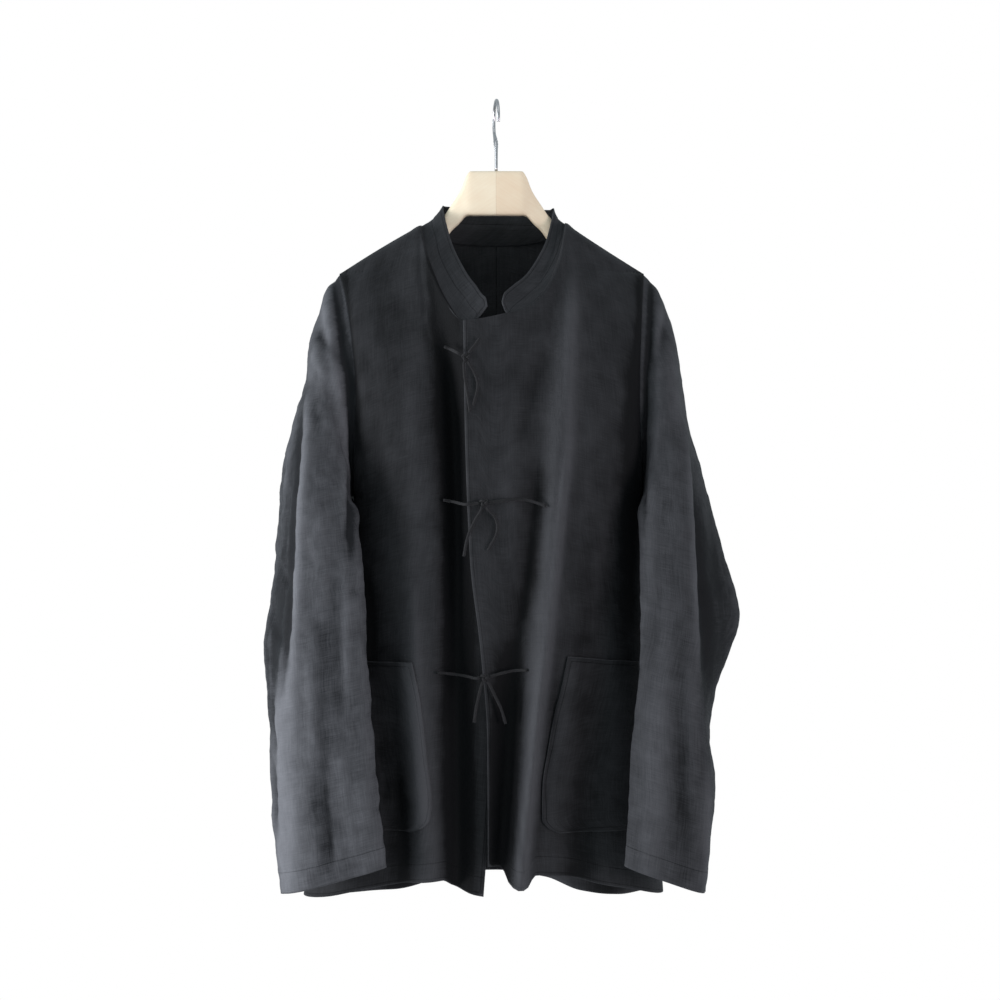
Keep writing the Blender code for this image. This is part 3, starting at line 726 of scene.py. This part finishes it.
headColumns = "topX topY topZ lowX lowY lowZ frontX frontY frontZ power bow"
hangColumns = "innerX innerY innerZ frontX frontY frontZ rearX rearY rearZ"
sleeveLeft = {
    # tint 2.9: a brighter copy of the body's linen, partly paler cloth and partly painted light;
    # its extra brightness over the right sleeve is painted window light
    "out": -1, "seed": 11, "crumple": 1.1, "tint": 2.9, "flat": (0.42, 0.74),
    "head": table(
        headColumns,
        (-203, -1, -225, -170, 0, -477, 0, -54, 2, 2.0, 6),
        (-210, -2, -250, -170, -1, -481, 1, -57, 4, 2.1, 4),
        (-222, -4, -280, -170, -3, -485, 3, -61, 8, 2.3, 2),
        (-228, -7, -330, -170, -7, -490, 8, -64, 10, 2.6, 1),
        (-240, -12, -378, -170, -14, -495, 12, -65, 11, 3.0, 0),
        (-250, -28, -430, -168, -26, -502, 17, -64, 8, 3.3, 0)),
    "hang": table(
        hangColumns,
        (-154, -96, -514, -228, -112, -492, -268, 4, -482),
        (-146, -110, -580, -229, -124, -572, -274, -22, -566),
        (-140, -124, -665, -229, -136, -660, -281, -46, -656),
        (-133, -136, -750, -226, -144, -750, -272, -60, -750),
        (-126, -146, -830, -221, -152, -838, -266, -74, -842),
        (-119, -150, -894, -216, -154, -921, -252, -86, -936)),
    "creases": creaseTable(
        (-216, -276, -178, -322, 6, -2.6), (-222, -300, -190, -352, 7, 2.0),
        (-226, -330, -206, -400, 7, -1.8), (-206, -470, -196, -640, 9, 1.4),
        (-186, -560, -176, -760, 8, -1.2), (-214, -640, -204, -800, 8, 1.6),
        (-180, -760, -160, -880, 9, 1.5), (-206, -790, -186, -905, 9, -1.6),
        (-236, -560, -262, -610, 7, -2.2), (-262, -470, -268, -640, 6, -2.4),
        (-250, -500, -256, -700, 5, 0.6), (-246, -700, -232, -860, 8, 1.8),
        (-196, -190, -171, -350, 5, -7.0), (-173, -290, -166, -560, 5, -7.0),
        (-206, -222, -180, -400, 6, 3.0), (-178, -360, -172, -520, 5, 2.0),
        (-219, -320, -232, -740, 6, 4.0), (-229, -330, -243, -720, 5, -5.5),
        (-256, -400, -266, -780, 14, -3.2), (-242, -640, -236, -980, 16, 4.6),
        (-197, -580, -196, -830, 10, -1.4), (-173, -550, -168, -720, 4, 1.8),
        (-152, -780, -146, -930, 8, 0.8), (-193, -790, -184, -890, 4, -1.8),
        (-264, -540, -246, -582, 4, -4.0), (-270, -600, -250, -650, 5, -3.4),
        (-262, -700, -250, -780, 5, -2.6), (-246, -420, -262, -600, 3, 1.6),
        (-238, -400, -254, -640, 3, -3.4), (-266, -600, -262, -730, 3, 1.6),
        (-250, -540, -256, -700, 7, -3.0), (-256, -780, -250, -860, 4, -3.4)),
}
sleeveRight = {
    # tint 1.85: a brighter copy of the body's linen, partly paler cloth and partly painted light
    "out": 1, "seed": 17, "crumple": 0.7, "tint": 1.85, "flat": (0.40, 0.74),
    "head": table(
        headColumns,
        (193, -1, -225, 174, 0, -477, 0, -54, 2, 2.0, 6),
        (203, -2, -250, 174, -1, -481, -1, -57, 4, 2.1, 4),
        (213, -4, -280, 174, -3, -485, -3, -61, 8, 2.3, 2),
        (221, -7, -330, 174, -7, -490, -7, -64, 10, 2.6, 1),
        (228, -12, -380, 174, -14, -495, -11, -65, 11, 3.0, 0),
        (240, -28, -430, 173, -26, -502, -15, -64, 8, 3.3, 0)),
    "hang": table(
        hangColumns,
        (162, -96, -514, 232, -102, -494, 263, 2, -484),
        (160, -108, -570, 231, -112, -564, 283, -18, -556),
        (159, -120, -632, 231, -120, -626, 296, -38, -620),
        (158, -128, -695, 232, -128, -692, 268, -52, -690),
        (155, -136, -755, 238, -133, -752, 250, -66, -750),
        (151, -143, -812, 241, -138, -812, 256, -76, -812),
        (147, -150, -895, 231, -146, -925, 240, -88, -930)),
    "creases": creaseTable(
        (200, -270, 184, -330, 6, -2.0), (206, -300, 214, -400, 7, 1.4),
        (196, -560, 184, -900, 9, 1.2), (214, -600, 206, -880, 9, -0.8),
        (180, -420, 176, -640, 8, 1.0), (232, -470, 244, -620, 5, -2.2),
        (250, -520, 262, -600, 6, -1.8), (222, -640, 226, -820, 7, 1.2),
        (186, -205, 178, -330, 4, -5.0), (177, -290, 172, -520, 3, -4.0),
        (192, -300, 184, -440, 6, 2.0), (196, -240, 187, -330, 5, 2.4),
        (224, -390, 232, -690, 4, 3.6), (233, -390, 246, -720, 8, -6.0),
        (256, -360, 264, -860, 24, -2.6), (182, -660, 168, -960, 12, 2.0),
        (216, -720, 214, -930, 12, -1.6), (242, -780, 238, -950, 5, 2.4)),
}
sleeves = {"left": sleeveLeft, "right": sleeveRight}
sleeve = {
    "seamIn": 1.5, "power": 3.6, "spread": 1.07, "ringPoints": 132, "rows": 230, "around": 720,
    "turned": 0.6,  # how far from sideways the cloth is all front or all back
    "behind": 0.45,  # how much of the front's creases shows behind
    "broadSize": 30.0, "broadDepth": 1.6, "fineSize": 13.0, "fineDepth": 0.7,
    "calmHead": 16,  # mm below the seam
}
# how strongly creases and crumples paint shade and light into the sleeves' colour
sleeveShadeTone = {"fullCrease": 4, "broad": 0.12, "fine": 0.1, "sideDark": 0.3, "sideTurn": (0.2, 0.6)}


def evenRing(ring, count):
    # the same closed ring with its points evenly spaced
    loop = np.vstack([ring, ring[:1]])
    run = lengths(loop, 0)
    at = np.linspace(0, run[-1], count, endpoint=False)
    return np.array([np.interp(at, run, loop[:, axis]) for axis in range(3)]).T


def sleeveGrid(side):
    # the armhole ring, the fanned head and the hanging tube, in even rows
    one = sleeves[side]
    turn = np.linspace(0, 2 * pi, sleeve["around"], endpoint=False)
    across, forward = np.cos(turn), np.sin(turn)
    middle = (armhole["top"] + armhole["bottom"]) / 2
    z = middle + (armhole["top"] - armhole["bottom"]) / 2 * across
    y = np.where(forward > 0, armhole["front"] * forward, -armhole["back"] * forward)
    x = spline(bodyEdge["z"], bodyEdge[side], z) - one["out"] * sleeve["seamIn"]
    rings = [np.array([x, y, z]).T]
    head = one["head"]
    for row in range(len(head["power"])):
        top, low, front = (np.array([head[part + axis][row] for axis in "XYZ"])
                           for part in ("top", "low", "front"))
        ring = section((top + low) / 2, (top - low) / 2, front, head["power"][row], turn)
        ring[:, 0] -= one["out"] * head["bow"][row] * forward ** 2
        rings.append(ring)
    for row in along(one["hang"], hangColumns, 2):
        inner, front, rear = row[0:3], row[3:6], row[6:9]
        half, deep = (front - inner) / 2, (front - rear) / 2
        rings.append(section(front - half - deep, half * sleeve["spread"],
                             deep * sleeve["spread"], sleeve["power"], turn))
    rings = np.array([evenRing(ring, sleeve["ringPoints"]) for ring in rings])
    run = lengths(rings, 0).mean(axis=1)
    slopes = np.gradient(rings, run, axis=0)
    at = np.linspace(0, run[-1], sleeve["rows"])
    cell = np.clip(np.searchsorted(run, at, side="right") - 1, 0, len(run) - 2)
    span = (run[cell + 1] - run[cell])[:, None, None]
    t = ((at - run[cell]) / span[:, 0, 0])[:, None, None]
    grid = hermite(rings[cell], rings[cell + 1], slopes[cell], slopes[cell + 1], span, t)
    out = normals(grid, closed=True)
    away = ((grid - grid.mean(axis=1, keepdims=True)) * out).sum(axis=2).mean()
    out = out * np.sign(away)
    inFront = smooth(-sleeve["turned"], sleeve["turned"], -out[..., 1])
    marks = creaseRise(one["creases"], grid[..., 0], grid[..., 2])
    marks = marks * (inFront + (1 - inFront) * sleeve["behind"])
    broad = crumple(grid, sleeve["broadSize"], one["seed"]) * one["crumple"]
    fine = crumple(grid, sleeve["fineSize"], one["seed"] + 1, 2) * one["crumple"]
    rise = marks + broad * sleeve["broadDepth"] + fine * sleeve["fineDepth"]
    rise = rise * smooth(0, sleeve["calmHead"], at)[:, None]
    # the painted shade of a trough is held back where the sleeve turns to the side, since from the
    # side a trough spreads wide
    sideDark = sleeveShadeTone["sideDark"]
    deepest = -sideDark - (1 - sideDark) * smooth(*sleeveShadeTone["sideTurn"], np.abs(out[..., 1]))
    # painted shade in crease troughs and painted light on crease ridges
    paintedLightShade = (marks / sleeveShadeTone["fullCrease"] + broad * sleeveShadeTone["broad"]
              + fine * sleeveShadeTone["fine"])
    return grid + out * rise[..., None], np.clip(paintedLightShade, deepest, 1)


for side, one in sleeves.items():
    # each sleeve's linen is the body's, brightened by its tint: partly paler cloth, partly painted
    # light
    look = linen("linenSleeve" + side.title(), rimRow=-9.0, hemRow=24.0, tint=one["tint"])
    grid, paintedLightShade = sleeveGrid(side)
    cut = cutMap(grid, closed=True)
    paintedLightShade = np.concatenate([paintedLightShade, paintedLightShade[:, :1]], axis=1)
    clothPiece("sleeve" + side.title(), "sleeve_" + side, grid, look, cut,
               rimMap(paintedLightShade, cut[..., 1]), closed=True)
print("sleeves hung")


# collar

collar = {
    "steps": 8, "rows": 26, "bulge": 3.0, "tuck": -2.4, "wall": 1.4, "flat": (0.52, 0.045),
    "band": 0.52, "step": 0.7, "stepSoft": 0.04,  # the lower part of the height stands out
    "crushSize": 16.0, "crushDepth": 0.5, "seed": 5,
    "rowsAt": table(
        "lowX lowY lowZ topX topY topZ",
        (-21, -92, -268, -10, -89, -254), (-31, -92, -270, -12, -85, -244),
        (-42, -90, -267, -17, -79, -238), (-53, -84, -254, -24, -71, -227),
        (-65, -72, -232, -34, -61, -213), (-78, -52, -199, -49, -40, -183),
        (-84, -35, -177, -58, -24, -155), (-90, 0, -149, -64, 0, -127),
        (-84, 27, -154, -61, 26, -122), (-66, 47, -159, -50, 46, -120),
        (-36, 59, -163, -28, 58, -120), (-3, 62, -164, 1, 62, -120),
        (30, 59, -163, 30, 58, -121), (60, 47, -159, 53, 46, -123),
        (77, 27, -152, 65, 26, -126), (83, 0, -146, 69, 0, -130),
        (78, -35, -177, 61, -25, -165), (72, -52, -199, 52, -42, -187),
        (61, -70, -227, 37, -58, -212), (47, -80, -246, 21, -72, -227),
        (30, -89, -258, 12, -80, -235), (21, -92, -260, 9, -84, -240),
        (13, -95, -262, 7, -89, -249)),
}


def collarPiece():
    rows = along(collar["rowsAt"], "lowX lowY lowZ topX topY topZ", collar["steps"])
    low, top = rows[:, :3], rows[:, 3:]
    outward = np.cross(np.gradient(low, axis=0), top - low)
    outward /= np.linalg.norm(outward, axis=1, keepdims=True)
    start = collar["tuck"] / np.linalg.norm(top - low, axis=1, keepdims=True)
    band, soft = collar["band"], collar["stepSoft"]
    layers = []
    for step in np.linspace(0, 1, collar["rows"]):
        share = start + (1 - start) * step
        swell = collar["bulge"] * sin(pi * step)
        swell += collar["step"] * (1 - float(smooth(band - soft, band + soft, step)))
        layers.append(low + (top - low) * share + outward * swell)
    grid = np.array(layers)
    crush = crumple(grid, collar["crushSize"], collar["seed"]) * collar["crushDepth"]
    grid = grid + normals(grid) * crush[..., None]
    cut = cutMap(grid)
    ends = np.minimum(cut[..., 0], cut[:, -1:, 0] - cut[..., 0])
    look = linen("charcoalLinenCollar", rimRow=3.5, hemRow=20.0, tint=1.3)
    clothPiece("standCollar", "collar", grid, look, cut, rimMap(0.0, cut[..., 1], ends),
               wall=collar["wall"])


collarPiece()
print("collar sewn on")


# patch pockets

pocket = {
    "lift": 2.8, "bulge": 1.8, "rows": 70, "files": 56, "stitchRow": 5.2,
    "crowdLow": 1.6,  # rows lie closer towards the round lower corners
    "flatLow": 6, "flatMouth": 0.3,
    "highlightIn": 9, "highlightWide": 8,  # mm, the painted highlight line inside the near edge
}
pockets = {
    "left": {
        "panel": frontUnder, "mouthFall": 3.0, "edgePale": 0.9, "flat": (0.135, 0.215),
        "outline": table(
            "z near far",
            (-667, -96, -184), (-711, -88, -188), (-781, -80, -196), (-828, -75, -202),
            (-848, -77, -203), (-858, -84, -200), (-864, -96, -192)),
    },
    "right": {
        "panel": frontOver, "mouthFall": 9.0, "edgePale": 0.25, "flat": (0.135, 0.225),
        "outline": table(
            "z near far",
            (-660, 82, 166), (-700, 74, 168), (-757, 60, 172), (-815, 51, 176),
            (-846, 52, 178), (-858, 60, 175), (-864, 72, 168)),
    },
}


def pocketPiece(side, one, look):
    outline = one["outline"]
    step = np.linspace(0, 1, pocket["rows"])
    drop = 1 - (1 - step) ** pocket["crowdLow"]
    heights = outline["z"][0] + (outline["z"][-1] - outline["z"][0]) * drop
    near = spline(outline["z"], outline["near"], heights)[:, None]
    far = spline(outline["z"], outline["far"], heights)[:, None]
    file = np.linspace(0, 1, pocket["files"])[None, :]
    x = near + (far - near) * file
    z = heights[:, None] - one["mouthFall"] * file * (1 - step[:, None]) ** 2
    grid = panelPoint(one["panel"], x, z)
    inset = np.minimum(np.sin(pi * file), 0.5) * 2 * (1 - step[:, None] ** pocket["flatLow"])
    inset = inset * smooth(0, pocket["flatMouth"], 1 - step)[:, None]
    out = normals(grid)
    out = out * -np.sign(out[..., 1].sum())
    grid = grid + out * (pocket["lift"] + pocket["bulge"] * inset)[..., None]
    cut = cutMap(grid)
    wide = cut[:, -1:, 0] - cut[..., 0]
    tall = cut[:1, :, 1] - cut[..., 1]
    # painted highlight: a pale band inside the pocket's near edge, added to the painted fold shade
    # and light
    pale = np.exp(-((cut[..., 0] - pocket["highlightIn"]) / pocket["highlightWide"]) ** 2)
    paintedLightShade = panelPaintedLightShade(one["panel"], grid) + one["edgePale"] * pale
    clothPiece("pocket" + side.title(), "pocket_" + side, grid, look, cut,
               rimMap(paintedLightShade, cut[..., 0], wide, cut[..., 1], tall))


pocketLook = linen("charcoalLinenPocket", rimRow=pocket["stitchRow"])
for side, one in pockets.items():
    pocketPiece(side, one, pocketLook)
print("pockets sewn on")


# ties: a turned cord of the same cloth, knotted at the overlap's edge

tie = {
    "thick": 3.4, "clear": 0.9, "step": 12.0, "gap": 0.6, "around": 14, "flatten": 0.8,
    "pathSteps": 9,
    "turns": 5.1, "uneven": 0.10, "looseEnd": 14,  # mm: the cord's turns, its thicker end
    "knotSize": (11.0, 8.0, 10.0), "knotOff": 0.3, "knotThick": 1.55, "knotPoints": 72,
    "knotLoops": (3.9, 2.0, 3.5), "knotUneven": 0.12,
}
tieCloth = {
    "dark": (0.004, 0.0042, 0.005, 1), "pale": (0.017, 0.0174, 0.0199, 1),
    "grain": 900.0, "creases": 260.0, "roughness": 0.6, "bump": 0.0005,
}
knots = {"tie_top": (-35.0, -314.0), "tie_middle": (-14.0, -482.0), "tie_low": (-13.0, -683.0)}
tieRoutes = {
    "tie_top": {
        "lead_left": ((-45, -309, 2), (-53, -304, 3), (-60, -301, 2)),
        "tail": ((-29, -306, 3), (-24, -300, 2), (-19, -293, 1)),
        "end_left": ((-37, -324, 3), (-36, -338, 1), (-33, -356, 1), (-30, -377, 1)),
        "end_right": ((-30, -323, 3), (-25, -332, 1), (-21, -347, 1), (-26, -370, 1)),
    },
    "tie_middle": {
        "lead_left": ((-24, -483, 1), (-36, -484, 1), (-50, -481, 5), (-61, -479, 2)),
        "lead_right": ((-3, -481, 1), (15, -479, 1), (35, -479, 1), (58, -486, 0)),
        "end_left": ((-18, -492, 3), (-26, -506, 1), (-33, -523, 1), (-37, -544, 1)),
        "end_right": ((-8, -491, 3), (0, -501, 1), (1, -517, 1), (-9, -537, 1)),
    },
    "tie_low": {
        "lead_left": ((-24, -684, 2), (-38, -683, 3), (-54, -681, 4), (-68, -679, 2)),
        "lead_right": ((-3, -681, 2), (9, -678, 2), (22, -676, 2), (36, -675, 1)),
        "end_left": ((-17, -693, 3), (-20, -705, 1), (-23, -719, 1), (-25, -735, 1)),
        "end_right": ((-7, -692, 3), (-1, -705, 1), (6, -720, 1), (11, -737, 1)),
    },
}


def smoothPanelPoint(piece, x, z):
    # the panel's point with its folds alone, which is where the frame's cords lie
    plain = dict(piece, crumple=0.0, creases={name: values[:0] for name, values
                                              in piece["creases"].items()})
    return panelPoint(plain, np.array([x], float), np.array([z], float))[0]


def overlapEdge(z):
    return spline(frontOver["middle"]["z"], frontOver["middle"]["x"], z)


def onOverlap(x, z, lift):
    y = smoothPanelPoint(frontOver, max(x, overlapEdge(z)), z)[1]
    return np.array([x, y - body["cadWall"] / 2 - lift, z])


def ringPiece(name, node, rings, look):
    # a closed form through rings of points
    rows, count = rings.shape[:2]
    faces = [(r * count + f, r * count + (f + 1) % count, (r + 1) * count + (f + 1) % count,
              (r + 1) * count + f) for r in range(rows - 1) for f in range(count)]
    faces.append(tuple(reversed(range(count))))
    faces.append(tuple(range((rows - 1) * count, rows * count)))
    mesh = bpy.data.meshes.new(name)
    mesh.from_pydata((rings.reshape(-1, 3) * millimetre).tolist(), [], faces)
    mesh.shade_smooth()
    mesh.materials.append(look)
    piece = linked(name, mesh)
    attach(piece, "root")
    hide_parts(node)
    return piece


def tubePiece(name, node, path, radius, swell, look, flatten=1.0):
    # a round tube along points, closed at both ends; swell is its thickness along the way
    ahead = np.gradient(path, axis=0)
    ahead /= np.linalg.norm(ahead, axis=1, keepdims=True)
    side = np.cross(ahead, np.array([0.0, -1.0, 0.0]))
    side /= np.maximum(np.linalg.norm(side, axis=1, keepdims=True), 1e-6)
    up = np.cross(side, ahead)
    turn = np.linspace(0, 2 * pi, tie["around"], endpoint=False)[None, :, None]
    rings = path[:, None] + radius * swell[:, None, None] * (
        side[:, None] * np.cos(turn) + flatten * up[:, None] * np.sin(turn))
    return ringPiece(name, node, rings, look)


def tieMaterial():
    look, flow, shader = newLook("tieCord", **{"Specular IOR Level": 0.2,
                                               "Sheen Weight": 0.08, "Sheen Roughness": 0.5})
    place = flow.objectPlace()
    grain = flow.speckle(place, tieCloth["grain"], 3.0)
    crease = flow.speckle(place, tieCloth["creases"], 2.0)
    plug(flow, shader,
         Base_Color=(grain * 0.6 + crease * 0.4).mixed(tieCloth["dark"], tieCloth["pale"]),
         Roughness=tieCloth["roughness"] + grain * 0.2,
         Normal=(grain * 0.5 + crease).bumped(0.8, tieCloth["bump"]))
    return look


def knotPiece(name, centre, look):
    # a cord turned three times over itself and pulled tight
    turn = np.linspace(0, 2 * pi, tie["knotPoints"])
    x = (np.sin(turn) + 2 * np.sin(2 * turn)) / 3
    z = (np.cos(turn) - 2 * np.cos(2 * turn)) / 3
    path = np.stack([x, -np.sin(3 * turn), z], axis=-1) * tie["knotLoops"] + centre
    tubePiece(name + "Knot", name + "_knot", path, tie["knotThick"],
              1 + tie["knotUneven"] * np.sin(5 * turn), look)


def tieClosure(name, look):
    centre = onOverlap(*knots[name], tie["knotSize"][1] / 2 + tie["knotOff"])
    knotPiece(name, centre, look)
    lift = tie["thick"] / 2 + tie["clear"]
    for strand, rows in tieRoutes[name].items():
        places = []
        for x, z, away in rows:
            if strand == "lead_left" and x < overlapEdge(z) - tie["step"]:
                point = smoothPanelPoint(frontUnder, x, z)
                places.append(point - [0, body["cadWall"] / 2 + lift + away, 0])
            else:
                places.append(onOverlap(x, z, lift + away))
        towards = (places[0] - centre) / np.linalg.norm(places[0] - centre)
        reach = 1 / np.linalg.norm(towards / (np.array(tie["knotSize"]) / 2))
        path = through([centre + towards * (reach + tie["gap"])] + places, tie["pathSteps"])
        run = lengths(path, 0)
        swell = 1 - tie["uneven"] * np.sin(run / tie["turns"]) ** 2
        if not strand.startswith("lead"):
            swell += tie["uneven"] * smooth(-tie["looseEnd"], 0, run - run[-1])
        piece = tubePiece(name + strand.title().replace("_", ""), f"{name}_{strand}",
                          path, tie["thick"] / 2, swell, look, tie["flatten"])
        if strand.startswith("end"):
            print(name, strand, "length", round(run[-1], 1))
            (path[0] * millimetre).tolist()
            (path * millimetre).tolist()


tieLook = tieMaterial()
for name in knots:
    tieClosure(name, tieLook)
print("ties knotted")


# hanger

hanger = {
    "neck": table(
        "reach top",
        (0, -84), (31, -84), (36, -90), (43, -107), (54, -124), (63, -137), (73, -147),
        (90, -156)),
    "arm": table(
        "reach height thick forward power",
        (0, 53, 18, -4, 5.0), (30, 53, 18, -3, 5.0), (44, 37, 15, -1, 3.4),
        (57, 31, 13, 0, 2.4), (90, 34, 13, 0, 2.3), (150, 32, 14, 0, 2.3), (176, 25, 12, 0, 2.3),
        (184, 15, 8, 0, 2.3)),
    "reach": {"left": 182.0, "right": 172.0}, "seat": 2.1, "sections": 150, "points": 56,
    "sharp": 50.0,  # degrees from face to face that stay an edge
}
hook = {
    "wire": 4.0, "loop": 23.0, "turn": 83.0, "pathSteps": 5,
    "stem": ((0.0, -83.7), (0.0, -60.0), (3.0, -50.0), (10.0, -42.0)),
    "start": -38.0, "end": 196.0, "steps": 22,  # degrees round the loop
    "thin": 0.92,
    "twistAt": -48.0, "twistLong": 8.0, "twistSwell": 0.42, "twistUneven": 0.35,
    "twistTurns": 1.6,
}


def woodPiece(look):
    turn = np.linspace(0, 2 * pi, hanger["points"], endpoint=False)
    arm, neck = hanger["arm"], hanger["neck"]
    rings = []
    for place in np.linspace(-1, 1, hanger["sections"] + 1):
        x = place * hanger["reach"]["left" if place < 0 else "right"]
        reach = abs(x)
        top = float(spline(neck["reach"], neck["top"], reach))
        if reach > neck["reach"][-2]:
            top = min(top, float(spline(shoulder["x"], shoulder["z"], x)) - hanger["seat"])
        height, thick, forward, power = (float(spline(arm["reach"], arm[name], reach))
                                         for name in ("height", "thick", "forward", "power"))
        centre = np.array([x, forward, top - height / 2])
        rings.append(section(centre, np.array([0, 0, height / 2]),
                             np.array([0, -thick / 2, 0]), power, turn))
    piece = ringPiece("hangerWood", "hanger_wood", np.array(rings), look)
    piece.data.set_sharp_from_angle(angle=radians(hanger["sharp"]))


def hookPiece(look):
    loop, turn = hook["loop"], radians(hook["turn"])
    middle = hook["wire"] / 2 - loop
    angles = np.radians(np.linspace(hook["start"], hook["end"], hook["steps"]))
    route = list(hook["stem"]) + [(loop * cos(a), middle + loop * sin(a)) for a in angles]
    path = through([(-away * cos(turn), away * sin(turn), z) for away, z in route],
                   hook["pathSteps"])
    near = np.exp(-((path[:, 2] - hook["twistAt"]) / hook["twistLong"]) ** 2)
    twist = 1 + hook["twistUneven"] * np.sin(path[:, 2] * hook["twistTurns"])
    tubePiece("hangerHook", "hanger_hook", path, hook["wire"] / 2,
              hook["thin"] + hook["twistSwell"] * near * twist, look)


woodPiece(woodMaterial())
hookPiece(wireMaterial())
print("hanger placed")


# studio: pale floor, soft light and the camera

studio = {
    "floorDrop": 0.24,  # below the hem, metres
    "floorReach": 0.46,  # a round plate, under the picture's lower edge
    "floorPoints": 96,
    "floorTone": (0.9, 0.9, 0.9, 1),
    "floorGlow": 0.25,
    "cameraAway": 2.44,
    "viewWide": 1.16,  # metres across the picture at viewAway from the camera
    "viewAway": 2.35,
    "centreX": 0.0046,
    "centreZ": -0.479,
    "sensor": 36.0,
    "roomLight": 0.58,  # of the white that the camera sees behind
    "roomTint": (0.87, 0.97, 1.0, 1),
    "lampsAim": (0, 0, -0.5),
}
lamps = {  # place, width and height, watts, colour
    "window": ((-2.6, -0.5, 0.2), (1.1, 1.6), 30, (0.93, 0.98, 1.0)),
    "windowLow": ((-2.4, -0.7, -0.9), (1.0, 1.0), 46, (1.0, 0.96, 1.0)),
    "doorway": ((2.2, -2.0, -0.8), (1.1, 1.1), 32, (1.0, 0.86, 0.90)),
    "ceiling": ((-0.3, -0.9, 1.5), (1.2, 1.2), 4, (1.0, 1.0, 1.0)),
}
white = (1, 1, 1, 1)


def lampPiece(name, place, size, watts, colour):
    data = bpy.data.lights.new(name, "AREA")
    data.shape = "RECTANGLE"
    data.size, data.size_y = size
    data.energy = watts
    data.color = colour
    light = linked(name, data)
    light.location = place
    aim = Vector(studio["lampsAim"]) - Vector(place)
    light.rotation_euler = aim.to_track_quat("-Z", "Y").to_euler()


def floorPiece():
    low = cadBox[0].z - studio["floorDrop"]
    reach = studio["floorReach"]
    ring = [(reach * cos(turn), reach * sin(turn), low)
            for turn in np.linspace(0, 2 * pi, studio["floorPoints"], endpoint=False)]
    mesh = bpy.data.meshes.new("paleFloor")
    mesh.from_pydata(ring, [], [tuple(range(len(ring)))])
    look = newLook("paleFloor", **{"Base Color": studio["floorTone"], "Roughness": 0.9,
                                   "Specular IOR Level": 0.1, "Emission Color": white,
                                   "Emission Strength": studio["floorGlow"]})[0]
    mesh.materials.append(look)
    linked("paleFloor", mesh)


def roomLight():
    # the camera sees white behind, the cloth is lit by a dimmer, cooler room
    world = bpy.data.worlds.new("whiteRoom")
    bpy.context.scene.world = world
    world.use_nodes = True
    seen = Flow(world.node_tree).add("ShaderNodeLightPath")
    plug(seen, world.node_tree.nodes["Background"], Color=seen.mixed(studio["roomTint"], white),
         Strength=seen * (1 - studio["roomLight"]) + studio["roomLight"])


floorPiece()
roomLight()
for name, one in lamps.items():
    lampPiece(name, *one)

camera = linked("camera", bpy.data.cameras.new("camera"))
camera.location = (studio["centreX"], -studio["cameraAway"], studio["centreZ"])
camera.rotation_euler = (pi / 2, 0, 0)
camera.data.sensor_width = studio["sensor"]
camera.data.lens = studio["sensor"] * studio["viewAway"] / studio["viewWide"]
bpy.context.scene.camera = camera
bpy.context.scene.view_settings.view_transform = "Standard"
print("studio lit")
